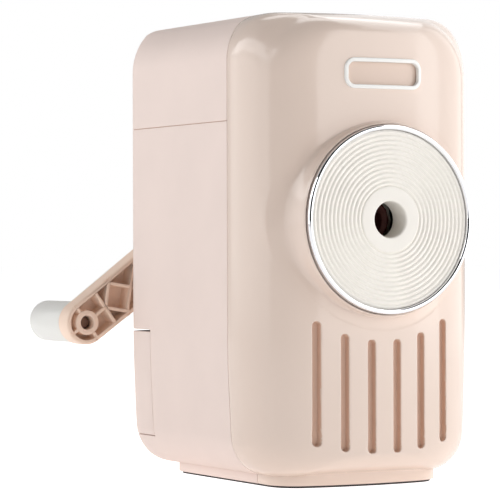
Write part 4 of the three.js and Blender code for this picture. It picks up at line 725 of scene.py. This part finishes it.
def in_drawer(y, z):
    return y > DRAWER_SEAM + HALF_SEAM and DRAWER_BOTTOM < z < DRAWER_TOP


def in_body(y, z):
    opening = DRAWER_BOTTOM - DRAWER_BOTTOM_GAP < z < DRAWER_TOP + DRAWER_TOP_GAP
    return z < COVER_SEAM - HALF_SEAM and not (y > DRAWER_SEAM - HALF_SEAM and opening)


front = make_front()
add(front, None, "casing", ["front_shell"], sharp=0)
seat = make_seat()
add(seat, pink_gloss, "casing", sharp=50)

skin = make_rear()
cover = keep_part(skin, "cover_moulding", lambda y, z: z > COVER_SEAM + HALF_SEAM)
add(cover, pink_satin, "casing", ["top_cover"], sharp=12)
body = keep_part(skin, "body_moulding", in_body)
add(body, pink_satin, "casing", ["body_shell"], sharp=12)
drawer_face = keep_part(skin, "drawer_face", in_drawer)
add(drawer_face, pink_satin, "drawer", ["shavings_drawer"])
seam_strip(skin, "cover_lip", ACROSS_Z, COVER_SEAM - 0.6, COVER_SEAM + 0.6, lambda y, z: y > SEAM + 0.6)
seam_strip(skin, "drawer_side_lip", ACROSS_Y, DRAWER_SEAM - 0.7, DRAWER_SEAM,
           lambda y, z: DRAWER_BOTTOM - 0.5 < z < DRAWER_TOP + 0.8)
bpy.data.objects.remove(skin)


def make_front_lip():
    """The lip behind the seam of the two casing halves: a band with a square section. Its darker colour is painted
    shade in the seam.
    """
    columns, rows = np.linspace(-1, 1, 41), np.linspace(1, -1, 61)
    section = [(SEAM_DEPTH, LIP_REACH), (SEAM_DEPTH, -LIP_REACH), (WALL - 0.6, -LIP_REACH), (WALL - 0.6, LIP_REACH)]
    bands = []
    for inset, behind in section:
        at = station_map(columns, rows, REAR_SIDE, REAR_EDGE, inset)[1]
        bands.append(at_depth(at, SEAM + behind))
    count = len(bands[0])
    loops = [range(k * count, (k + 1) * count) for k in range(len(section))]
    faces = [face for k in range(len(section)) for face in ring_faces(loops[k], loops[(k + 1) % len(section)])]
    return new_object("front_lip", np.concatenate(bands), faces)


add(make_front_lip(), seam_painted_shade, "casing")


# ---- Drawer tub, rails, collar, plinth and pad ----
def tub_section(inset, top):
    """The tub across Y: open to its top, with round lower corners."""
    half, radius, low = TUB_HALF_WIDTH - inset, TUB_CORNER - inset, DRAWER_BOTTOM + TUB_ABOVE_FACE_BOTTOM + inset
    return ([(half, top), (-half, top)] + arc(radius - half, low + radius, radius, 2 * QUARTER, 3 * QUARTER, 8)
            + arc(half - radius, low + radius, radius, 3 * QUARTER, 4 * QUARTER, 8))


def make_tub():
    high, back = DRAWER_TOP - TUB_BELOW_FACE_TOP, DEPTH - WALL - TUB_BEHIND_FACE
    tub = prism("drawer_tub", tub_section(0, high), TUB_FRONT, back)
    hollow = prism("hollow", tub_section(TUB_WALL, high + BEYOND), TUB_FRONT + TUB_WALL, back - TUB_WALL)
    boolean(tub, hollow, "DIFFERENCE")
    bevel(tub, 0.3)
    return tub


def plinth_outline(inset):
    half, crown, corner = PLINTH_HALF_WIDTH - inset, FRONT_CROWN - inset, PLINTH_FRONT_CORNER - inset
    back = PLINTH_BACK_CORNER - inset
    crown_y = PLINTH_FRONT + FRONT_CROWN
    cx = half - corner
    cy = crown_y - math.sqrt((crown - corner) ** 2 - cx**2)
    start = math.atan2(cy - crown_y, cx)
    bx, by = half - back, PLINTH_BACK - inset - back
    return (arc(0, crown_y, crown, math.pi - start, 2 * math.pi + start, 24)[1:-1] + arc(cx, cy, corner, start, 0, 12)
            + arc(bx, by, back, 0, QUARTER, 10) + arc(-bx, by, back, QUARTER, 2 * QUARTER, 10)
            + arc(-cx, cy, corner, math.pi, math.pi - start, 12))


def clipped(outline, value, keep_low):
    """The part of an upright outline in front of, or behind, a plane across Y."""
    out = []
    for (x0, y0), (x1, y1) in zip(outline, outline[1:] + outline[:1]):
        in0, in1 = (y0 <= value) == keep_low, (y1 <= value) == keep_low
        if in0:
            out.append((x0, y0))
        if in0 != in1:
            share = (value - y0) / (y1 - y0)
            out.append((x0 + share * (x1 - x0), value))
    return out


add(make_tub(), pink_satin, "drawer")

for name, limit, in_front, finish, slot in [
    ("front_plinth", SEAM - HALF_SEAM, True, pink_gloss, "casing_gloss"),
    ("body_plinth", SEAM + HALF_SEAM, False, pink_satin, "casing_satin"),
]:
    outline = clipped(plinth_outline(0), limit, in_front)
    piece = prism(name, outline, DESK + PAD_STANDS_OUT, IN_FLOOR, upright=True)
    bevel(piece, 0.3)
    add(piece, finish, "casing")

pad = prism("desk_pad", plinth_outline(PAD_INSET), DESK, DESK + PAD_THICKNESS, upright=True)
bevel(pad, 0.25, 3)
add(pad, rubber, "casing", ["nonslip_pad"])

rail_top = DRAWER_BOTTOM + TUB_ABOVE_FACE_BOTTOM - RAIL_BELOW_TUB
for side, name in [(-1, "runner_left"), (1, "runner_right")]:
    left, right = side * RAIL_OFFSET - RAIL_HALF_WIDTH, side * RAIL_OFFSET + RAIL_HALF_WIDTH
    section = [(left, IN_FLOOR), (right, IN_FLOOR), (right, rail_top), (left, rail_top)]
    rail = prism(name, section, TUB_FRONT, RAIL_BACK)
    bevel(rail, 0.3)
    add(rail, pink_satin, "casing")

collar_back = DEPTH + COLLAR_HEIGHT
collar_profile = ([(COLLAR_BORE, DEPTH - 2), (COLLAR_RADIUS, DEPTH - 2)]
                  + arc(COLLAR_RADIUS - 0.4, collar_back - 0.4, 0.4, 0, QUARTER, 5)
                  + arc(COLLAR_BORE + 0.2, collar_back - 0.2, 0.2, QUARTER, 2 * QUARTER, 5))
collar = turned("shaft_collar", collar_profile, 96)
add(collar, pink_satin, "casing")


# ---- Dial, ring and badge frame ----
def make_disc():
    pitch = (DISC_RIM - HUB_FACE) / DISC_RIDGES
    mouth = [(0, 0.6), (0.04, 0.35), (0.16, 0.14), (0.33, 0.02), (0.5, 0)]  # rounding: out from the bore, and back
    profile = [(PENCIL_BORE, HUB_TUBE_BACK)] + [(PENCIL_BORE + out, DISC_FACE + back) for out, back in mouth]
    profile += [(HUB_FACE - 0.5, DISC_FACE), (HUB_FACE - 0.2, DISC_FACE + 0.03)]
    steps = 10
    for n in range(DISC_RIDGES):
        for k in range(steps):
            share = (k + 0.5) / steps
            lift = 0.5 - 0.5 * math.cos(2 * math.pi * share)
            profile.append((HUB_FACE + (n + share) * pitch, DISC_FACE + RIDGE_DEPTH * (1 - lift**0.6)))
    profile += [(DISC_RIM, DISC_FACE + RIDGE_DEPTH), (DISC_RIM, DISC_BACK), (HUB_TUBE_RADIUS, DISC_BACK),
                (HUB_TUBE_RADIUS, HUB_TUBE_BACK - 0.2), (HUB_TUBE_RADIUS - 0.2, HUB_TUBE_BACK)]
    return turned("ridged_dial", profile, 192)


add(make_disc(), white_dial, "casing", ["dial_disc"], sharp=50)

half_ring = RING_WIDTH / 2
ring_profile = [(RING_RADIUS, DISC_BACK)]
for k in range(17):
    t = math.pi * k / 16
    ring_profile.append((RING_RADIUS - half_ring * (1 - math.cos(t)), RING_CREST + half_ring * (1 - math.sin(t))))
ring_profile.append((RING_RADIUS - RING_WIDTH, DISC_BACK))
add(turned("bright_ring", ring_profile, 256), chrome, "casing", ["chrome_ring"], sharp=50)


def badge_path(steps=10, straight=8):
    """Round the badge: (x, z) with the way outward. Straight runs have points too, to follow the bowed face."""
    w, h, r = BADGE_HALF_W - BADGE_CORNER, BADGE_HALF_H - BADGE_CORNER, BADGE_CORNER
    corners = []
    for n, (cx, cz) in enumerate([(w, h), (-w, h), (-w, -h), (w, -h)]):
        turns = [n * QUARTER + QUARTER * k / steps for k in range(steps + 1)]
        corners.append([(cx + r * math.cos(t), cz + r * math.sin(t), math.cos(t), math.sin(t)) for t in turns])
    path = []
    for corner, following in zip(corners, corners[1:] + corners[:1]):
        (x0, z0, nx, nz), (x1, z1) = corner[-1], following[0][:2]
        shares = [k / straight for k in range(1, straight)]
        path += corner + [(x0 + (x1 - x0) * s, z0 + (z1 - z0) * s, nx, nz) for s in shares]
    return path


def make_badge_frame():
    edge, foot = 0.32, 0.6  # rounding of the bar's edges, and how far it goes into the face
    turns = np.linspace(0, QUARTER, 6)
    section = [(0.0, foot)]
    section += [(edge - edge * math.cos(t), -BADGE_PROUD + edge - edge * math.sin(t)) for t in turns]
    section += [(BADGE_BAR - edge + edge * math.sin(t), -BADGE_PROUD + edge - edge * math.cos(t)) for t in turns]
    section.append((BADGE_BAR, foot))
    path = badge_path()
    points = []
    for x, z, nx, nz in path:
        for inward, depth in section:
            px, pz = x - nx * inward, z - nz * inward
            points.append((px, bow(px, FRONT_CROWN) + depth, pz + BADGE_Z))
    count, stations = len(section), len(path)
    faces = []
    for i in range(stations):
        here, after = i * count, (i + 1) % stations * count
        for k in range(count):
            j = (k + 1) % count
            faces.append((here + k, here + j, after + j, after + k))
    return face_outward(new_object("badge_moulding", points, faces))


add(make_badge_frame(), white_gloss, "casing", ["badge_frame"], sharp=50)

# ---- Crank ----
CRANK_RADIUS, CRANK_ANGLE = 52.6, math.radians(33)
HUB_RADIUS, END_RADIUS, LOWER_EDGE, FILLET = 10.0, 6.35, 4.07, 6.0
ARM_FRONT, ARM_BACK, ARM_FLOOR, ARM_WALL, RIB = 92.15, 98.75, 1.3, 1.3, 0.9
SHORT_OF_BACK = 0.5  # the bosses end this far short of the arm's back, inside its floor, and the ribs a bit sooner
SHAFT_BOSS, SHAFT_BOSS_FRONT, SHAFT_HOLE, SHAFT_HOLE_END = 6.4, 90.1, 3.3, 4.2
PIN_BOSS, PIN_HOLE, CAP_HOLE, CAP_HOLE_DEPTH = 3.55, 2.05, 4.3, 2.6
KNOB_FRONT, KNOB_BACK, KNOB_RADIUS, KNOB_DOME, KNOB_BORE_DEPTH = 99.05, 121.05, 6.0, 1.5, 17


def swing(points):
    """Turns (x, z) points drawn with the arm along -X to where the arm rests."""
    c, s = math.cos(-CRANK_ANGLE), math.sin(-CRANK_ANGLE)
    return [(x * c + z * s, -x * s + z * c) for x, z in points]


def arm_outline(inset):
    """A round hub and a round end, with a straight upper edge and a fillet where the lower edge meets the hub."""
    hub, end = HUB_RADIUS - inset, END_RADIUS - inset
    upper = math.acos(-(hub - end) / CRANK_RADIUS)
    line = LOWER_EDGE - inset
    lower = -QUARTER + math.asin((end - line) / CRANK_RADIUS)
    nx, nz = math.cos(lower), math.sin(lower)
    fillet = FILLET + inset
    run = math.sqrt((hub + fillet) ** 2 - (line + fillet) ** 2)
    mx, mz = nx * (line + fillet) + nz * run, nz * (line + fillet) - nx * run
    hub_end = math.atan2(mz, mx)
    return (arc(0, 0, hub, upper, hub_end, 36) + arc(mx, mz, fillet, hub_end + math.pi, lower + math.pi, 10)
            + arc(-CRANK_RADIUS, 0, end, lower, upper - 2 * math.pi, 28))


def bar(p0, p1, width):
    (x0, z0), (x1, z1) = p0, p1
    length = math.hypot(x1 - x0, z1 - z0)
    sx, sz = -(z1 - z0) / length * width / 2, (x1 - x0) / length * width / 2
    return [(x0 + sx, z0 + sz), (x0 - sx, z0 - sz), (x1 - sx, z1 - sz), (x1 + sx, z1 + sz)]


def rib_lines():
    """Middle lines of the ribs: a cross at the end, a row of crosses along the arm and rays round the hub."""
    slope = math.atan2((HUB_RADIUS - LOWER_EDGE) / 2, CRANK_RADIUS)
    ax, az = math.cos(slope), math.sin(slope)

    def at(along, across):
        return -CRANK_RADIUS + along * ax - across * az, along * az + across * ax

    reach, first, pitch = END_RADIUS - ARM_WALL / 2, 7.2, 2 * (END_RADIUS - ARM_WALL)
    lines = [(at(-reach, 0), at(first, 0)), (at(0, -reach), at(0, reach)), (at(first, -reach), at(first, reach))]
    for n in range(4):
        middle = first + n * pitch
        back = 0 if n == 0 else reach
        lines += [(at(middle - back, -back), at(middle + reach, reach)),
                  (at(middle - back, back), at(middle + reach, -reach))]
    ray = HUB_RADIUS - ARM_WALL / 2
    for n in range(6):
        turn = 2 * math.pi * (n + 0.5) / 6
        lines.append(((0, 0), (ray * math.cos(turn), ray * math.sin(turn))))
    return lines


def circle(x, z, r, steps=48):
    return arc(x, z, r, 0, 2 * math.pi, steps)[:-1]


def make_arm():
    arm = prism("ribbed_arm", swing(arm_outline(0)), ARM_FRONT, ARM_BACK)
    bevel(arm, 0.75, 4, 60)
    boolean(arm, prism("tool", swing(arm_outline(ARM_WALL)), ARM_FRONT - 2, ARM_BACK - ARM_FLOOR), "DIFFERENCE")
    for n, (start, end) in enumerate(rib_lines()):
        front = ARM_FRONT + 0.02 + 0.004 * n  # no two ribs end in the same plane
        boolean(arm, prism("tool", swing(bar(start, end, RIB)), front, ARM_BACK - SHORT_OF_BACK - 0.1), "UNION")
    knob_end = (-CRANK_RADIUS, 0)
    for (x, z), radius, front, back, operation in [
        (knob_end, PIN_BOSS, ARM_FRONT - 0.02, ARM_BACK - SHORT_OF_BACK, "UNION"),
        ((0, 0), SHAFT_BOSS, SHAFT_BOSS_FRONT, ARM_BACK - SHORT_OF_BACK, "UNION"),
        (knob_end, PIN_HOLE, ARM_FRONT - 3, ARM_BACK + 3, "DIFFERENCE"),
    ]:
        boolean(arm, prism("tool", swing(circle(x, z, radius)), front, back), operation)
    for radius, front, back in [(SHAFT_HOLE, SHAFT_BOSS_FRONT - 1.1, ARM_BACK - SHAFT_HOLE_END),
                                (CAP_HOLE, ARM_BACK - CAP_HOLE_DEPTH, ARM_BACK + 3)]:
        boolean(arm, prism("tool", circle(0, 0, radius), front, back), "DIFFERENCE")
    bevel(arm, 0.13)
    return arm


add(make_arm(), pink_arm, "crank", ["crank_arm"], sharp=40)
boss_x, boss_z = swing([(-CRANK_RADIUS, 0)])[0]

bore_end, edge = KNOB_FRONT + KNOB_BORE_DEPTH, 0.6
knob_profile = [(0.0, bore_end), (PIN_HOLE, bore_end), (PIN_HOLE, KNOB_FRONT + 0.3), (PIN_HOLE + 0.3, KNOB_FRONT),
                (KNOB_RADIUS - edge, KNOB_FRONT), (KNOB_RADIUS - 0.18, KNOB_FRONT + 0.18),
                (KNOB_RADIUS, KNOB_FRONT + edge), (KNOB_RADIUS, KNOB_BACK - KNOB_DOME)]
for k in range(1, 13):
    t = QUARTER * k / 12
    knob_profile.append((KNOB_RADIUS - KNOB_DOME * (1 - math.cos(t)), KNOB_BACK - KNOB_DOME * (1 - math.sin(t))))
knob_profile.append((0.0, KNOB_BACK))
knob = turned("turning_knob", knob_profile, 96, boss_x, boss_z, closed=False)
add(knob, white_knob, "knob", ["crank_knob"], sharp=50)

cap_profile = [(radius, ARM_BACK - sunk) for radius, sunk in
               [(0, 1.1), (4.0, 1.1), (4.0, 0.35), (3.9, 0.12), (3.65, 0), (0, 0)]]
cap = turned("hub_cap", cap_profile, 64, closed=False)
add(cap, white_gloss, "crank", ["screw_cap"], sharp=50)

# ---- Solids that stay, with their materials ----
finishes = {
    "dial_lock_ring": plated, "shell_screw_left": plated, "shell_screw_right": plated, "cutter_housing": dark_plastic,
    "ring_gear": nylon, "front_bush": nylon, "rear_bush": nylon, "wall_bush": nylon, "cutter_carrier": brown_plastic,
    "cutter_axle": plated, "helical_cutter": steel, "cutter_pinion": plated, "crank_shaft": plated, "shaft_clip": steel,
    # The knob's axle gets the painted shade of the hole it shows through.
    "crank_screw": plated, "knob_axle": axle_painted_shade,
}
for n in range(1, 5):
    finishes[f"housing_screw_{n}"] = plated
for name, mat in finishes.items():
    dress(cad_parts[name], mat, sharp=30)

# ---- Floor, light and camera ----
FLOOR_SIDE, FLOOR_NEAR, FLOOR_FAR, FLOOR_COLOR = 6, -4, 8, 0.85
FLOOR_GLOW, FLOOR_SEEN, FADE_FROM, FADE_TO = 0.42, 0.88, 0.1, 0.5
WORLD_SHEEN, SHEEN_FROM, SHEEN_TO = 0.4, -0.05, 0.15

floor_mesh = bpy.data.meshes.new("floor")
floor_corners = [(-FLOOR_SIDE, FLOOR_NEAR, 0), (FLOOR_SIDE, FLOOR_NEAR, 0), (FLOOR_SIDE, FLOOR_FAR, 0),
                 (-FLOOR_SIDE, FLOOR_FAR, 0)]
floor_mesh.from_pydata(floor_corners, [], [(0, 1, 2, 3)])
in_scene("floor", floor_mesh)

floor_mat = bpy.data.materials.new("floor_white")
floor_mat.use_nodes = True
tree = floor_mat.node_tree
tree.nodes.clear()
# Seen directly the floor fades to white away from the object, and keeps the shadow beside it.
position = add_node(tree, "NewGeometry").outputs["Position"]
away = add_node(tree, "VectorMath", {0: position}, "LENGTH").outputs["Value"]
fade = add_node(tree, "MapRange", {"Value": away, "From Min": FADE_FROM, "From Max": FADE_TO,
                                   "To Min": FLOOR_SEEN - FLOOR_GLOW, "To Max": 1 - FLOOR_GLOW})
seen = add_node(tree, "LightPath").outputs["Is Camera Ray"]
glow = add_node(tree, "Emission", {"Strength": math_node(tree, "MULTIPLY_ADD", seen, fade.outputs[0], FLOOR_GLOW)})
matte = add_node(tree, "BsdfDiffuse", {"Color": (FLOOR_COLOR, FLOOR_COLOR, FLOOR_COLOR, 1)})
both = add_node(tree, "AddShader", {0: matte.outputs[0], 1: glow.outputs[0]})
add_node(tree, "OutputMaterial", {"Surface": both.outputs[0]})
floor_mesh.materials.append(floor_mat)

# The surroundings are white where they are seen directly and give no light of their own. In reflections they are
# grey behind the object and dark on the camera's side.
world = bpy.data.worlds.new("studio")
bpy.context.scene.world = world
world.use_nodes = True
tree = world.node_tree
tree.nodes.clear()
path = add_node(tree, "LightPath").outputs
direction = add_node(tree, "SeparateXYZ", {0: add_node(tree, "TexCoord").outputs["Generated"]})
behind = add_node(tree, "MapRange", {"From Min": SHEEN_FROM, "From Max": SHEEN_TO, "Value": direction.outputs["Y"]})
direct = math_node(tree, "MAXIMUM", path["Is Camera Ray"], path["Is Transmission Ray"])
sheen = math_node(tree, "MULTIPLY", behind.outputs[0], WORLD_SHEEN)
strength = math_node(tree, "MULTIPLY_ADD", path["Is Glossy Ray"], sheen, direct)
sky = add_node(tree, "Background", {"Color": (1, 1, 1, 1), "Strength": strength})
add_node(tree, "OutputWorld", {"Surface": sky.outputs[0]})


def lamp(name, middle, aim, across, upright, power):
    data = bpy.data.lights.new(name, "AREA")
    data.shape = "RECTANGLE"
    data.size, data.size_y = across, upright
    data.energy = power
    obj = in_scene(name, data)
    obj.location = middle
    obj.rotation_mode = "QUATERNION"
    obj.rotation_quaternion = (Vector(aim) - Vector(middle)).to_track_quat("-Z", "Y")


LAMPS = [
    # name, middle, aim, size across and up, power
    ("left_low", (-0.75, 0.515, 0.19), (0, 0.515, 0.19), (1.67, 0.34), 2.0),
    ("left_high", (-0.75, 0.515, 0.53), (0, 0.515, 0.53), (1.67, 0.34), 4.5),
    ("key", (0.518, -0.964, 0.43), (0, -0.03, 0.27), (1.17, 0.9), 6.0),
    ("right_box", (0.93, -0.25, 0.6), (0, -0.03, 0.6), (1.19, 1.2), 5.8),
    ("back_right", (0.93, 0.95, 0.75), (0, 0.95, 0.75), (1.1, 1.3), 3.4),
    ("ceiling_right", (0.85, 0.4, 1.3), (0.85, 0.4, 0), (0.5, 2.2), 6.9),
    ("overhead", (0.2, 0.5, 1.25), (0.2, 0.5, 0), (0.6, 0.45), 2.2),
]
for name, middle, aim, (across, upright), power in LAMPS:
    lamp(name, middle, aim, across, upright, power)

TURN, TILT, ROLL = math.radians(28.318), math.radians(0.037), math.radians(-0.174)
LENS, SENSOR, CLIP_START, CLIP_END = 188.3304, 36, 0.05, 50
CAMERA_X, CAMERA_Y, CAMERA_Z = -0.3600931, -0.5930774, -0.0083711  # in metres, from the crank axis at the front face
forward = Vector((math.sin(TURN) * math.cos(TILT), math.cos(TURN) * math.cos(TILT), math.sin(TILT)))
right = Vector((math.cos(TURN), -math.sin(TURN), 0))
up = right.cross(forward)
across = right * math.cos(ROLL) + up * math.sin(ROLL)
upward = up * math.cos(ROLL) - right * math.sin(ROLL)
camera = bpy.data.cameras.new("camera")
camera.lens = LENS
camera.sensor_width = SENSOR
camera.clip_start, camera.clip_end = CLIP_START, CLIP_END
view = in_scene("camera", camera)
view.matrix_world = Matrix((
    (across.x, upward.x, -forward.x, CAMERA_X),
    (across.y, upward.y, -forward.y, CAMERA_Y + AXIS[1] * MM),
    (across.z, upward.z, -forward.z, CAMERA_Z + AXIS[2] * MM),
    (0, 0, 0, 1),
))
bpy.context.scene.camera = view
bpy.context.scene.view_settings.view_transform = "Standard"
